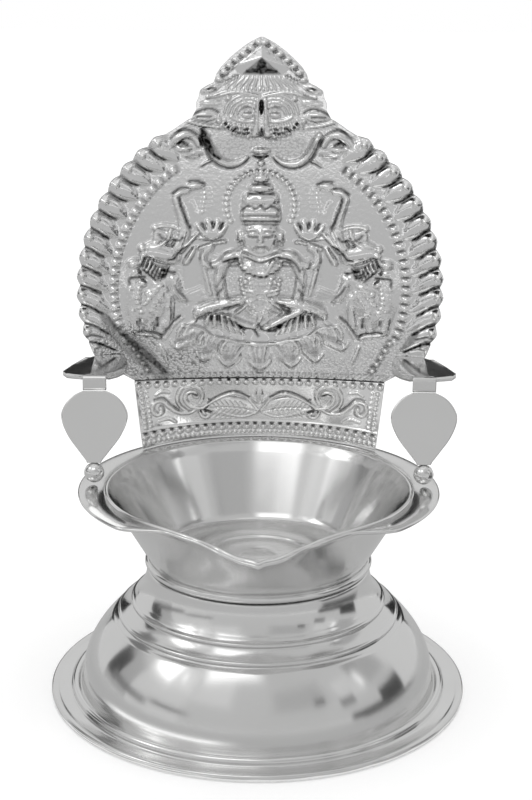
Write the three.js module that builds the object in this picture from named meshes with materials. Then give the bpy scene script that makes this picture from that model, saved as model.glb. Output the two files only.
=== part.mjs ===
// Gajalakshmi oil lamp: a spun foot, a conical oil cup with a pinched wick spout, a flat flange round the
// cup, and an embossed arched back plate held up by a curved base panel and two side brackets.
// Millimetres, +Z up. The origin is the centre of the foot's underside and the spout points to -Y.
import * as THREE from 'three';
import { mergeVertices } from 'three/addons/utils/BufferGeometryUtils.js';

// Clearance left where two soldered pieces meet.
const JOINT_GAP = 0.3;

// Foot: outer radius, width of the flat ring that it stands on, wall of the spun sheet.
const FOOT_RADIUS = 40;
const FOOT_REST_WIDTH = 2;
const FOOT_WALL = 0.8;
const FOOT_HEIGHT = 24.7;
const FOOT_RIM_HEIGHT = 0.75;
// Bead rolled into the brim: how far in from the edge, radius of its section, height of its centre.
const FOOT_BEAD_INSET = 4.8;
const FOOT_BEAD_SECTION = 0.85;
const FOOT_BEAD_HEIGHT = 1.3;
// Dome: width of the brim round it, height where it starts, and the two raised rings on its shoulder.
const FOOT_BRIM_WIDTH = 6.1;
const DOME_FOOT_HEIGHT = 2.5;
const LOWER_RING_RADIUS = 26.95;
const LOWER_RING_HEIGHT = 15.9;
const UPPER_RING_RADIUS = 24.45;
const UPPER_RING_HEIGHT = 18.35;
// Neck: how far the foot's top stands out past the cup's floor, and the width of its flat ledge.
const NECK_OVERHANG = 1.7;
const NECK_LEDGE_WIDTH = 5;

// Collar soldered round the joint of foot and cup: its width, height and rounded edge.
const COLLAR_WIDTH = 0.9;
const COLLAR_HEIGHT = 1.5;
const COLLAR_ROUND = 0.25;

// Cup: radii of its floor and rim, their heights, wall, and the rolled rim.
const CUP_FLOOR_RADIUS = 19.6;
const CUP_RIM_RADIUS = 28.4;
const CUP_DEPTH = 14.1;
const CUP_WALL = 0.8;
const CUP_FLOOR_THICKNESS = 0.8;
const CUP_ROLL = 0.75;
const CUP_ROLL_OUT = 0.85;
const CUP_FLOOR_RING_RADIUS = 10.8;
const CUP_FLOOR_RING_HEIGHT = 0.4;

// Spout: how far its tip stands out from the rim's circle and how far it dips.
const SPOUT_REACH = 8.2;
const SPOUT_DIP = 2;

// Flange: width, sheet thickness, and the strip that is left along the spout.
const FLANGE_WIDTH = 5.65;
const FLANGE_THICKNESS = 0.7;
const FLANGE_EDGE_ROUND = 0.4;
const FLANGE_SPOUT_STRIP = 1;
const FLANGE_TAPER_START = 32;
const FLANGE_TAPER_END = 48;

// Back plate: the arch and its crest, from the middle of the sheet.
const PLATE_THICKNESS = 1.2;
const PLATE_BEND_RADIUS = 103;
const PLATE_FORWARD_OF_PANEL_FOOT = 2.7;
const ARCH_RADIUS = 36.15;
const ARCH_CENTRE_ABOVE_PANEL = 19.43;
const ARCH_START_ANGLE = -24;
const ARCH_END_ANGLE = 61;

// Crest outline: half width and height above the end of the arch, up to the tip.
const CREST_OUTLINE = [
  [14.7, 1],
  [13.7, 1.4],
  [12.7, 3.6],
  [12.1, 5.85],
  [11.7, 6.95],
  [9.05, 8.25],
  [8.65, 10.05],
  [7.65, 11.7],
  [6.05, 13.3],
  [4.25, 14.7],
  [2, 16.1],
  [0.5, 17.2],
];

// Base panel: its height, half widths at foot and top, and how far its foot is in from the flange's edge.
const PANEL_HEIGHT = 12.9;
const PANEL_FOOT_HALF_WIDTH = 23.55;
const PANEL_TOP_HALF_WIDTH = 25.4;
const PANEL_FOOT_INSET = 1.85;
const PANEL_THICKNESS = 1.2;

// Side brackets: the ball on the flange, the vase-shaped plate on it, and the arm above.
const BALL_RADIUS = 1.9;
const BALL_INSET = 2.9;
const BALL_Y = 0.4;
const VASE_HEIGHT = 13.3;
const VASE_HALF_WIDTH = 6.3;
const VASE_FOOT_HALF_WIDTH = 1.3;
const VASE_NECK_HALF_WIDTH = 2.2;
const VASE_FOOT_FLARE = 1.8;
const VASE_SHOULDER_FLARE = 1.7;
const VASE_THICKNESS = 0.8;
const VASE_LEAN_DEGREES = 18;
// Arm: height of its tab, thickness, and how far its rear end lies lower than the top of the tab.
const ARM_TAB_HEIGHT = 2.7;
const ARM_THICKNESS = 0.9;
const ARM_FALL = 0.8;
// Arm outline from the back plate forward: share of the way, how far its inner edge, its fold line and its
// wing's tip lie from the ball's centre line, and how far the wing falls below the fold.
const ARM_STATIONS = [
  [0, -3.9, 2.8, 3.7, 0.2],
  [0.24, -4.8, 2.75, 5.9, 0.8],
  [0.45, -5.3, 2.7, 7.1, 1.1],
  [0.67, -5.2, 2.6, 5.9, 0.9],
  [0.82, -4.1, 2.5, 4.2, 0.5],
  [0.92, -2.6, 2.3, 2.9, 0.2],
];

// Facets of the round pieces.
const ROUND_SEGMENTS = 48;
const BALL_SEGMENTS = 16;

// Radii, places and heights that follow from the sizes above.
const FLANGE_RADIUS = CUP_RIM_RADIUS + FLANGE_WIDTH;
const PANEL_FOOT_RADIUS = FLANGE_RADIUS - PANEL_FOOT_INSET;
const PLATE_SETBACK = PANEL_FOOT_RADIUS - PLATE_FORWARD_OF_PANEL_FOOT;
const BRACKET_X = FLANGE_RADIUS - BALL_INSET;
const FOOT_NECK_RADIUS = CUP_FLOOR_RADIUS + NECK_OVERHANG;
const DOME_FOOT_RADIUS = FOOT_RADIUS - FOOT_BRIM_WIDTH;
const FOOT_BEAD_RADIUS = FOOT_RADIUS - FOOT_BEAD_INSET;
const CUP_BOTTOM_Z = FOOT_HEIGHT + JOINT_GAP;
const CUP_FLOOR_Z = CUP_BOTTOM_Z + CUP_FLOOR_THICKNESS;
const CUP_RIM_Z = CUP_FLOOR_Z + CUP_DEPTH;
const FLANGE_TOP_Z = CUP_RIM_Z + CUP_ROLL / 2;
const PANEL_FOOT_Z = FLANGE_TOP_Z + JOINT_GAP;
const PANEL_TOP_Z = PANEL_FOOT_Z + PANEL_HEIGHT;
const ARCH_CENTRE_Z = PANEL_TOP_Z + ARCH_CENTRE_ABOVE_PANEL;
const BALL_Z = FLANGE_TOP_Z + JOINT_GAP + BALL_RADIUS;

const radians = (degrees) => (degrees * Math.PI) / 180;
const mix = (a, b, t) => a + (b - a) * t;

function smoothStep(low, high, value) {
  const t = Math.min(Math.max((value - low) / (high - low), 0), 1);
  return t * t * (3 - 2 * t);
}

// Silver-white alloy with a mirror polish.
function silver(name, color, roughness) {
  return new THREE.MeshStandardMaterial({ name, color, roughness, metalness: 1 });
}

// A closed geometry from points and triangles, turned to face outwards.
function closedGeometry(points, triangles) {
  const geometry = new THREE.BufferGeometry();
  geometry.setAttribute('position', new THREE.Float32BufferAttribute(points.flat(), 3));
  geometry.setIndex(triangles.flat());
  return facingOut(geometry);
}

// Six times the signed volume tells which way the faces turn.
function facingOut(geometry) {
  const position = geometry.getAttribute('position');
  const index = geometry.getIndex();
  const a = new THREE.Vector3();
  const b = new THREE.Vector3();
  const c = new THREE.Vector3();
  let volume = 0;
  for (let i = 0; i < index.count; i += 3) {
    a.fromBufferAttribute(position, index.getX(i));
    b.fromBufferAttribute(position, index.getX(i + 1));
    c.fromBufferAttribute(position, index.getX(i + 2));
    volume += a.dot(b.cross(c));
  }
  if (volume < 0) {
    for (let i = 0; i < index.count; i += 3) {
      const second = index.getX(i + 1);
      index.setX(i + 1, index.getX(i + 2));
      index.setX(i + 2, second);
    }
  }
  geometry.computeVertexNormals();
  return geometry;
}

// A round solid whose [radius, height] profile may change with the angle from the spout. A profile that
// starts and ends on the axis is a solid of revolution, and any other is a closed ring.
function spun(profileAt, segments) {
  const points = [];
  const rows = [];
  const count = profileAt(0).length;
  const solid = profileAt(0)[0][0] === 0;
  for (let s = 0; s < segments; s += 1) {
    const turn = (s / segments) * 2 * Math.PI;
    const fromSpout = Math.min(turn, 2 * Math.PI - turn);
    const row = profileAt(fromSpout).map(([radius, height], k) => {
      if (radius === 0 && s > 0) {
        return rows[0][k];
      }
      points.push([radius * Math.sin(turn), -radius * Math.cos(turn), height]);
      return points.length - 1;
    });
    rows.push(row);
  }
  const triangles = [];
  const steps = solid ? count - 1 : count;
  for (let s = 0; s < segments; s += 1) {
    const here = rows[s];
    const next = rows[(s + 1) % segments];
    for (let k = 0; k < steps; k += 1) {
      const m = (k + 1) % count;
      triangles.push([here[k], next[k], next[m]], [here[k], next[m], here[m]]);
    }
  }
  const real = triangles.filter(([p, q, r]) => p !== q && q !== r && r !== p);
  return closedGeometry(points, real);
}

// A bent sheet between two grids of points, front[row][column] and back[row][column].
function bentSheet(front, back) {
  const rows = front.length;
  const columns = front[0].length;
  const points = [...front.flat(), ...back.flat()];
  const at = (side, row, column) => side * rows * columns + row * columns + column;
  const triangles = [];
  const quad = (a, b, c, d) => triangles.push([a, b, c], [a, c, d]);
  for (let i = 0; i < rows - 1; i += 1) {
    for (let j = 0; j < columns - 1; j += 1) {
      quad(at(0, i, j), at(0, i, j + 1), at(0, i + 1, j + 1), at(0, i + 1, j));
      quad(at(1, i, j), at(1, i + 1, j), at(1, i + 1, j + 1), at(1, i, j + 1));
    }
    const last = columns - 1;
    quad(at(0, i, 0), at(0, i + 1, 0), at(1, i + 1, 0), at(1, i, 0));
    quad(at(0, i, last), at(1, i, last), at(1, i + 1, last), at(0, i + 1, last));
  }
  for (let j = 0; j < columns - 1; j += 1) {
    const top = rows - 1;
    quad(at(0, 0, j), at(1, 0, j), at(1, 0, j + 1), at(0, 0, j + 1));
    quad(at(0, top, j), at(0, top, j + 1), at(1, top, j + 1), at(1, top, j));
  }
  return closedGeometry(points, triangles);
}

// Foot

// The dome swells from its foot up to the lower ring.
function domePoint(t) {
  const rise = LOWER_RING_HEIGHT - DOME_FOOT_HEIGHT;
  return [
    mix(DOME_FOOT_RADIUS, LOWER_RING_RADIUS - 0.3, t ** 2.1),
    DOME_FOOT_HEIGHT + rise * t,
  ];
}

function footProfile() {
  const bead = [-25, 30, 90, 150, 200].map((angle) => [
    FOOT_BEAD_RADIUS + FOOT_BEAD_SECTION * Math.cos(radians(angle)),
    FOOT_BEAD_HEIGHT + FOOT_BEAD_SECTION * Math.sin(radians(angle)),
  ]);
  const outer = [
    [FOOT_RADIUS, 0],
    [FOOT_RADIUS, FOOT_RIM_HEIGHT],
    [FOOT_RADIUS - 0.4, FOOT_RIM_HEIGHT + 0.4],
    [FOOT_RADIUS - 1.1, FOOT_RIM_HEIGHT + 0.4],
    [FOOT_RADIUS - 1.6, FOOT_RIM_HEIGHT + 0.2],
    ...bead,
    [DOME_FOOT_RADIUS + 0.1, DOME_FOOT_HEIGHT - 0.9],
    [DOME_FOOT_RADIUS, DOME_FOOT_HEIGHT],
  ];
  const dome = [0.1, 0.28, 0.48, 0.68, 0.85].map(domePoint);
  const rings = [
    [LOWER_RING_RADIUS - 0.1, LOWER_RING_HEIGHT - 0.8],
    [LOWER_RING_RADIUS, LOWER_RING_HEIGHT - 0.2],
    [LOWER_RING_RADIUS - 0.25, LOWER_RING_HEIGHT + 0.35],
    [LOWER_RING_RADIUS - 1.2, LOWER_RING_HEIGHT + 0.8],
    [UPPER_RING_RADIUS + 0.15, UPPER_RING_HEIGHT - 0.7],
    [UPPER_RING_RADIUS, UPPER_RING_HEIGHT],
    [UPPER_RING_RADIUS - 0.5, UPPER_RING_HEIGHT + 0.5],
  ];
  // A hollow curve runs from the upper ring to the upright neck.
  const shoulder = [0.2, 0.45, 0.7, 0.9].map((t) => [
    mix(UPPER_RING_RADIUS - 0.7, FOOT_NECK_RADIUS, Math.sin(t * radians(90))),
    mix(UPPER_RING_HEIGHT + 0.8, FOOT_HEIGHT - 0.4, t ** 1.25),
  ]);
  const ledge = [
    [FOOT_NECK_RADIUS - 0.2, FOOT_HEIGHT],
    [FOOT_NECK_RADIUS - NECK_LEDGE_WIDTH, FOOT_HEIGHT],
  ];
  // The inside follows the outside, one wall further in.
  const innerDome = [0.6, 0.35, 0.12].map((t) => {
    const [radius, height] = domePoint(t);
    return [radius - FOOT_WALL * 1.3, height];
  });
  const inner = [
    [FOOT_NECK_RADIUS - NECK_LEDGE_WIDTH, FOOT_HEIGHT - FOOT_WALL],
    [FOOT_NECK_RADIUS - 0.9, FOOT_HEIGHT - FOOT_WALL - 0.3],
    [UPPER_RING_RADIUS - 1.5 - FOOT_WALL, UPPER_RING_HEIGHT + 0.5],
    [UPPER_RING_RADIUS - FOOT_WALL, UPPER_RING_HEIGHT - 1.6],
    [LOWER_RING_RADIUS - 1 - FOOT_WALL, LOWER_RING_HEIGHT - 0.9],
    ...innerDome,
    [DOME_FOOT_RADIUS - 0.2, DOME_FOOT_HEIGHT - 1.6],
    [DOME_FOOT_RADIUS + 0.6, DOME_FOOT_HEIGHT - 2.2],
    [FOOT_RADIUS - FOOT_REST_WIDTH - 0.2, 0.3],
    [FOOT_RADIUS - FOOT_REST_WIDTH, 0],
  ];
  return [...outer, ...dome, ...rings, ...shoulder, ...ledge, ...inner];
}

// Collar

function collarProfile() {
  const inner = CUP_FLOOR_RADIUS + CUP_WALL + JOINT_GAP + 0.1;
  const outer = inner + COLLAR_WIDTH;
  const low = CUP_BOTTOM_Z;
  const top = low + COLLAR_HEIGHT;
  return [
    [inner, low],
    [outer - COLLAR_ROUND, low],
    [outer, low + COLLAR_ROUND],
    [outer, top - COLLAR_ROUND],
    [outer - COLLAR_ROUND, top],
    [inner + 0.5, top],
  ];
}

// Cup and spout

// Two straight edges leave the rim's circle on a tangent and meet in the tip, which is slightly rounded.
function rimRadius(fromSpout) {
  const tip = CUP_RIM_RADIUS + SPOUT_REACH;
  const tangentAngle = Math.acos(CUP_RIM_RADIUS / tip);
  if (fromSpout >= tangentAngle) {
    return CUP_RIM_RADIUS;
  }
  return CUP_RIM_RADIUS / Math.cos(tangentAngle - fromSpout);
}

function spoutDip(fromSpout) {
  const share = (rimRadius(fromSpout) - CUP_RIM_RADIUS) / SPOUT_REACH;
  return SPOUT_DIP * share ** 1.5;
}

function cupProfile(fromSpout) {
  const reach = rimRadius(fromSpout) - CUP_RIM_RADIUS;
  const dip = spoutDip(fromSpout);
  const wallSteps = [0.05, 0.2, 0.45, 0.7, 0.9];
  const floorRing = CUP_FLOOR_RING_RADIUS;
  const wallPoint = (t, offset) => [
    mix(CUP_FLOOR_RADIUS + 0.3, CUP_RIM_RADIUS - CUP_WALL, t) + reach * t ** 1.6 + offset,
    mix(CUP_FLOOR_Z + 0.6, CUP_RIM_Z - 0.4, t) - dip * t ** 2,
  ];
  const rimZ = CUP_RIM_Z - dip;
  const rim = CUP_RIM_RADIUS + reach;
  return [
    [0, CUP_FLOOR_Z],
    [floorRing - 0.8, CUP_FLOOR_Z],
    [floorRing - 0.3, CUP_FLOOR_Z + CUP_FLOOR_RING_HEIGHT],
    [floorRing + 0.3, CUP_FLOOR_Z + CUP_FLOOR_RING_HEIGHT],
    [floorRing + 0.8, CUP_FLOOR_Z],
    [CUP_FLOOR_RADIUS - 0.9, CUP_FLOOR_Z],
    [CUP_FLOOR_RADIUS, CUP_FLOOR_Z + 0.4],
    ...wallSteps.map((t) => wallPoint(t, 0)),
    [rim - 0.45, rimZ + 0.3],
    [rim - 0.1, rimZ + CUP_ROLL],
    [rim + 0.45, rimZ + CUP_ROLL],
    [rim + CUP_ROLL_OUT, rimZ + 0.3],
    [rim + CUP_ROLL_OUT - 0.05, rimZ - 0.25],
    [rim + 0.3, rimZ - 0.65],
    ...wallSteps.toReversed().map((t) => wallPoint(t, CUP_WALL)),
    [CUP_FLOOR_RADIUS + 0.9, CUP_BOTTOM_Z + 0.5],
    [CUP_FLOOR_RADIUS + 0.1, CUP_BOTTOM_Z],
    [0, CUP_BOTTOM_Z],
  ];
}

// Flange

function flangeProfile(fromSpout) {
  const inner = rimRadius(fromSpout) + CUP_ROLL_OUT + JOINT_GAP;
  const wide = smoothStep(radians(FLANGE_TAPER_START), radians(FLANGE_TAPER_END), fromSpout);
  const strip = inner + FLANGE_SPOUT_STRIP;
  const outer = Math.max(strip, mix(strip, FLANGE_RADIUS, wide));
  const top = FLANGE_TOP_Z - spoutDip(fromSpout);
  const bottom = top - FLANGE_THICKNESS;
  return [
    [inner, bottom],
    [inner, top],
    [outer - FLANGE_EDGE_ROUND, top],
    [outer, top - FLANGE_EDGE_ROUND / 2],
    [outer, bottom - FLANGE_EDGE_ROUND / 2],
    [outer - FLANGE_EDGE_ROUND, bottom],
  ];
}

// Back plate and base panel

// How far behind the axis the bent back plate lies at a distance from the middle.
function plateY(x) {
  const bend = PLATE_BEND_RADIUS - Math.sqrt(PLATE_BEND_RADIUS ** 2 - x ** 2);
  return PLATE_SETBACK - bend;
}

// Half width of the back plate at each of its rows, from its lower edge to the tip.
function plateRows() {
  const foot = [[PANEL_TOP_HALF_WIDTH, PANEL_TOP_Z + JOINT_GAP]];
  const arch = [];
  for (let angle = ARCH_START_ANGLE; angle <= ARCH_END_ANGLE; angle += 5) {
    arch.push([
      ARCH_RADIUS * Math.cos(radians(angle)),
      ARCH_CENTRE_Z + ARCH_RADIUS * Math.sin(radians(angle)),
    ]);
  }
  const archEndZ = ARCH_CENTRE_Z + ARCH_RADIUS * Math.sin(radians(ARCH_END_ANGLE));
  const crest = CREST_OUTLINE.map(([halfWidth, height]) => [halfWidth, archEndZ + height]);
  return [...foot, ...arch, ...crest];
}

function backPlateGeometry() {
  const shares = Array.from({ length: 15 }, (_, k) => (k - 7) / 7);
  const grid = (offset) =>
    plateRows().map(([halfWidth, z]) =>
      shares.map((share) => [share * halfWidth, plateY(share * halfWidth) + offset, z]),
    );
  return bentSheet(grid(-PLATE_THICKNESS / 2), grid(PLATE_THICKNESS / 2));
}

// The panel's foot follows the flange's round, and its top follows the back plate.
function panelY(x, rise) {
  const footY = Math.sqrt(PANEL_FOOT_RADIUS ** 2 - x ** 2);
  return mix(footY, plateY(x), rise);
}

function basePanelGeometry() {
  const shares = Array.from({ length: 21 }, (_, k) => (k - 10) / 10);
  const rises = [0, 0.25, 0.5, 0.75, 1];
  const grid = (offset) =>
    rises.map((rise) =>
      shares.map((share) => {
        const x = share * mix(PANEL_FOOT_HALF_WIDTH, PANEL_TOP_HALF_WIDTH, rise);
        return [x, panelY(x, rise) + offset, mix(PANEL_FOOT_Z, PANEL_TOP_Z, rise)];
      }),
    );
  return bentSheet(grid(-PANEL_THICKNESS / 2), grid(PANEL_THICKNESS / 2));
}

// Side brackets

function ballGeometry() {
  const steps = BALL_SEGMENTS / 2;
  const profile = Array.from({ length: steps + 1 }, (_, k) => {
    const angle = (k / steps) * Math.PI;
    const onAxis = k === 0 || k === steps;
    return [onAxis ? 0 : BALL_RADIUS * Math.sin(angle), -BALL_RADIUS * Math.cos(angle)];
  });
  return spun(() => profile, BALL_SEGMENTS);
}

// A flat plate cut to the outline of a full vase, standing on its narrow foot.
function vaseGeometry() {
  const belly = VASE_HEIGHT * 0.64;
  const swell = VASE_FOOT_HALF_WIDTH + VASE_FOOT_FLARE;
  const shoulder = VASE_NECK_HALF_WIDTH + VASE_SHOULDER_FLARE;
  const shape = new THREE.Shape();
  shape.moveTo(-VASE_FOOT_HALF_WIDTH, 0);
  shape.lineTo(VASE_FOOT_HALF_WIDTH, 0);
  shape.bezierCurveTo(swell, belly * 0.45, VASE_HALF_WIDTH, belly * 0.5, VASE_HALF_WIDTH, belly);
  shape.bezierCurveTo(
    VASE_HALF_WIDTH, VASE_HEIGHT * 0.86, shoulder, VASE_HEIGHT * 0.965, VASE_NECK_HALF_WIDTH, VASE_HEIGHT,
  );
  shape.lineTo(-VASE_NECK_HALF_WIDTH, VASE_HEIGHT);
  shape.bezierCurveTo(
    -shoulder, VASE_HEIGHT * 0.965, -VASE_HALF_WIDTH, VASE_HEIGHT * 0.86, -VASE_HALF_WIDTH, belly,
  );
  shape.bezierCurveTo(-VASE_HALF_WIDTH, belly * 0.5, -swell, belly * 0.45, -VASE_FOOT_HALF_WIDTH, 0);
  const geometry = new THREE.ExtrudeGeometry(shape, {
    depth: VASE_THICKNESS,
    bevelEnabled: false,
    curveSegments: 10,
  });
  geometry.translate(0, 0, -VASE_THICKNESS / 2);
  geometry.rotateX(Math.PI / 2 - radians(VASE_LEAN_DEGREES));
  geometry.deleteAttribute('normal');
  geometry.deleteAttribute('uv');
  return facingOut(mergeVertices(geometry));
}

// The arm is a strap that runs from the back plate forward to the vase. A wing is folded down along its outer
// edge, and a tab is bent down at its front end to meet the vase's neck.
function armGeometry(side) {
  const lean = radians(VASE_LEAN_DEGREES);
  const vaseFootZ = BALL_Z + BALL_RADIUS + JOINT_GAP;
  const vaseTopZ = vaseFootZ + VASE_HEIGHT * Math.cos(lean);
  const frontY = BALL_Y + VASE_HEIGHT * Math.sin(lean);
  const tabBottomZ = vaseTopZ + JOINT_GAP;
  const frontZ = tabBottomZ + ARM_TAB_HEIGHT;
  const tabInner = BRACKET_X - VASE_NECK_HALF_WIDTH;
  const tabOuter = BRACKET_X + VASE_NECK_HALF_WIDTH;
  const strap = ARM_STATIONS.map(([along, inner, fold, wing, drop]) => {
    const z = mix(frontZ - ARM_FALL, frontZ, along);
    return [inner, mix(inner, fold, 0.5), fold, wing].map((reach, column) => {
      const x = BRACKET_X + reach;
      const rearY = plateY(x) - PLATE_THICKNESS / 2 - JOINT_GAP;
      return [x, mix(rearY, frontY, along), column === 3 ? z - drop : z];
    });
  });
  const bend = [
    [frontY, frontZ],
    [frontY - ARM_THICKNESS * 0.6, frontZ - ARM_THICKNESS * 0.4],
    [frontY - ARM_THICKNESS * 0.7, tabBottomZ],
  ].map(([y, z]) => [tabInner, BRACKET_X, tabOuter - 0.05, tabOuter].map((x) => [x, y, z]));
  const top = [...strap, ...bend];
  // The underside lies one thickness below the strap and one thickness behind the tab.
  const below = [0, -ARM_THICKNESS];
  const behindBend = [ARM_THICKNESS, -ARM_THICKNESS * 0.6];
  const behind = [ARM_THICKNESS, 0];
  const offsets = [...strap.map(() => below), below, behindBend, behind];
  const shifted = (row, [dy, dz]) => row.map(([x, y, z]) => [x, y + dy, z + dz]);
  const under = top.map((row, i) => shifted(row, offsets[i]));
  const mirrored = (grid) => grid.map((row) => row.map(([x, y, z]) => [side * x, y, z]));
  return bentSheet(mirrored(top), mirrored(under));
}

// Assembly

const polished = silver('polished_silver', '#cecece', 0.08);
const stamped = silver('stamped_silver', '#cbcbcb', 0.2);

function piece(name, geometry, material) {
  const mesh = new THREE.Mesh(geometry, material.clone());
  mesh.name = name;
  return mesh;
}

const lamp = new THREE.Group();
lamp.add(piece('foot', spun(footProfile, ROUND_SEGMENTS), polished));
lamp.add(piece('neck_collar', spun(collarProfile, ROUND_SEGMENTS), polished));
lamp.add(piece('oil_cup', spun(cupProfile, ROUND_SEGMENTS), polished));
lamp.add(piece('cup_flange', spun(flangeProfile, ROUND_SEGMENTS), polished));
lamp.add(piece('base_panel', basePanelGeometry(), stamped));
lamp.add(piece('back_plate', backPlateGeometry(), stamped));

for (const [label, side] of [['left', -1], ['right', 1]]) {
  const bracket = new THREE.Group();
  bracket.position.set(side * BRACKET_X, BALL_Y, BALL_Z);
  bracket.add(piece(`ball_${label}`, ballGeometry(), polished));
  const vase = piece(`vase_plate_${label}`, vaseGeometry(), polished);
  vase.position.z = BALL_RADIUS + JOINT_GAP;
  bracket.add(vase);
  lamp.add(bracket);
  lamp.add(piece(`arm_${label}`, armGeometry(side), polished));
}

export default lamp;
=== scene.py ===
"""Looks of a small silver oil lamp: spun foot and cup, and an embossed back plate with two brackets."""
import math

import bmesh
import bpy
import numpy as np
from mathutils import Matrix, Vector


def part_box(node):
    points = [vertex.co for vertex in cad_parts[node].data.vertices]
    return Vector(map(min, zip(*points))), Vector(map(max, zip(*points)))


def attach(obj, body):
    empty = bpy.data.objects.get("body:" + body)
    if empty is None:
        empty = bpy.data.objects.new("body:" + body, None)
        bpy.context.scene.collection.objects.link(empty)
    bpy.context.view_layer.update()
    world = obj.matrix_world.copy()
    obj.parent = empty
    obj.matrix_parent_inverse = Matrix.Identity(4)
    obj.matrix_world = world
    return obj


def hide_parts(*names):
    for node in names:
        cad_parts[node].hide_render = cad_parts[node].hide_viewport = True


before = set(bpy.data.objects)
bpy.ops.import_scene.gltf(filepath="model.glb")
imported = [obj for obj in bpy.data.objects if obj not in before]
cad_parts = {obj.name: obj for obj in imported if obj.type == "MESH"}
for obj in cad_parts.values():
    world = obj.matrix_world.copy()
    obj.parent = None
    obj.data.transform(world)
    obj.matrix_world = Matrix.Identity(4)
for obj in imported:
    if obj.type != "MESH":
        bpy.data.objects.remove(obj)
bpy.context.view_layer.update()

# Sizes are in millimetres and turned to metres when a mesh is made.
MM = 0.001
JOINT_GAP = 0.3


def node_box(name):
    """Lowest and highest corner of a CAD node in millimetres."""
    low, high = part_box(name)
    return low / MM, high / MM


FOOT_HIGH = node_box("foot")[1]
CUP_LOW = node_box("oil_cup")[0]
FLANGE_HIGH = node_box("cup_flange")[1]
PANEL_LOW, PANEL_HIGH = node_box("base_panel")
PLATE_LOW, PLATE_HIGH = node_box("back_plate")

FOOT_RADIUS = FOOT_HIGH.x
FOOT_HEIGHT = FOOT_HIGH.z
FOOT_WALL = 0.8
FOOT_RIM_HEIGHT = 0.75
BEAD_RADIUS = FOOT_RADIUS - 4.8
BEAD_HEIGHT = 1.3
DOME_FOOT_RADIUS = FOOT_RADIUS - 6.1
DOME_FOOT_HEIGHT = 2.5
LOWER_RING_RADIUS = 26.95
LOWER_RING_HEIGHT = 15.9
UPPER_RING_RADIUS = 24.45
UPPER_RING_HEIGHT = 18.35
NECK_RADIUS = 21.3

CUP_FLOOR_RADIUS = 19.6
CUP_RIM_RADIUS = 28.4
CUP_WALL = 0.8
CUP_FLOOR_THICKNESS = 0.8
CUP_DEPTH = 14.1
CUP_BOTTOM_Z = CUP_LOW.z
CUP_FLOOR_Z = CUP_BOTTOM_Z + CUP_FLOOR_THICKNESS
CUP_RIM_Z = CUP_FLOOR_Z + CUP_DEPTH
SPOUT_REACH = 8.2
SPOUT_DIP = 2

FLANGE_RADIUS = FLANGE_HIGH.x
FLANGE_TOP_Z = FLANGE_HIGH.z
FLANGE_THICKNESS = 0.7

PLATE_THICKNESS = 1.2
PLATE_BEND_RADIUS = 103
PLATE_SETBACK = 29.5
PLATE_FOOT_Z = PLATE_LOW.z
PLATE_TIP_Z = PLATE_HIGH.z
# The relief is drawn in pattern millimetres: its foot line is at this height, and it is slightly enlarged.
PATTERN_FOOT = 52.375
PATTERN_SCALE = 1.0067
ARCH_RADIUS = 35.9
ARCH_CENTRE = 71.375
ARCH_START_ANGLE = -24
ARCH_END_ANGLE = 61
PLATE_FOOT_HALF_WIDTH = 25.2

PANEL_FOOT_Z = PANEL_LOW.z
PANEL_TOP_Z = PANEL_HIGH.z
PANEL_FOOT_HALF_WIDTH = 23.55
PANEL_TOP_HALF_WIDTH = 25.4
PANEL_FOOT_RADIUS = 32.2
PANEL_THICKNESS = 1.2
PANEL_PATTERN_FOOT = 39.275

BALL_RADIUS = 1.9
BRACKET_X = 31.15
BALL_Y = 0.4
VASE_HEIGHT = 13.3
VASE_FOOT_HALF_WIDTH = 1.3
VASE_NECK_HALF_WIDTH = 2.2
VASE_THICKNESS = 0.8
VASE_LEAN = math.radians(18)
ARM_TAB_HEIGHT = 2.7
ARM_THICKNESS = 0.9
ARM_FALL = 0.8

# How many steps a turned piece has round its axis.
SEGMENTS = 256


def mix(a, b, t):
    return a + (b - a) * t


def smooth_step(low, high, value):
    t = np.clip((value - low) / (high - low), 0, 1)
    return t * t * (3 - 2 * t)


# Materials

def linear(code):
    """An sRGB hex colour as linear RGBA."""
    channels = [int(code[k:k + 2], 16) / 255 for k in (1, 3, 5)]
    return [c / 12.92 if c <= 0.04045 else ((c + 0.055) / 1.055) ** 2.4 for c in channels] + [1.0]


def add_node(tree, kind, settings=None, inputs=None):
    """Adds a node with its settings. An input is a plain value or the output socket that feeds it."""
    node = tree.nodes.new(kind)
    for name, value in (settings or {}).items():
        setattr(node, name, value)
    for name, value in (inputs or {}).items():
        if isinstance(value, bpy.types.NodeSocket):
            tree.links.new(value, node.inputs[name])
        else:
            node.inputs[name].default_value = value
    return node


def new_material(name):
    material = bpy.data.materials.new(name)
    material.use_nodes = True
    material.node_tree.nodes.clear()
    return material, material.node_tree


def in_millimetres(tree):
    """The piece's own coordinates in millimetres, for patterns of a real size."""
    place = add_node(tree, "ShaderNodeTexCoord").outputs["Object"]
    scaled = add_node(tree, "ShaderNodeVectorMath", {"operation": "SCALE"}, {0: place, "Scale": 1 / MM})
    return scaled.outputs["Vector"]


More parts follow.
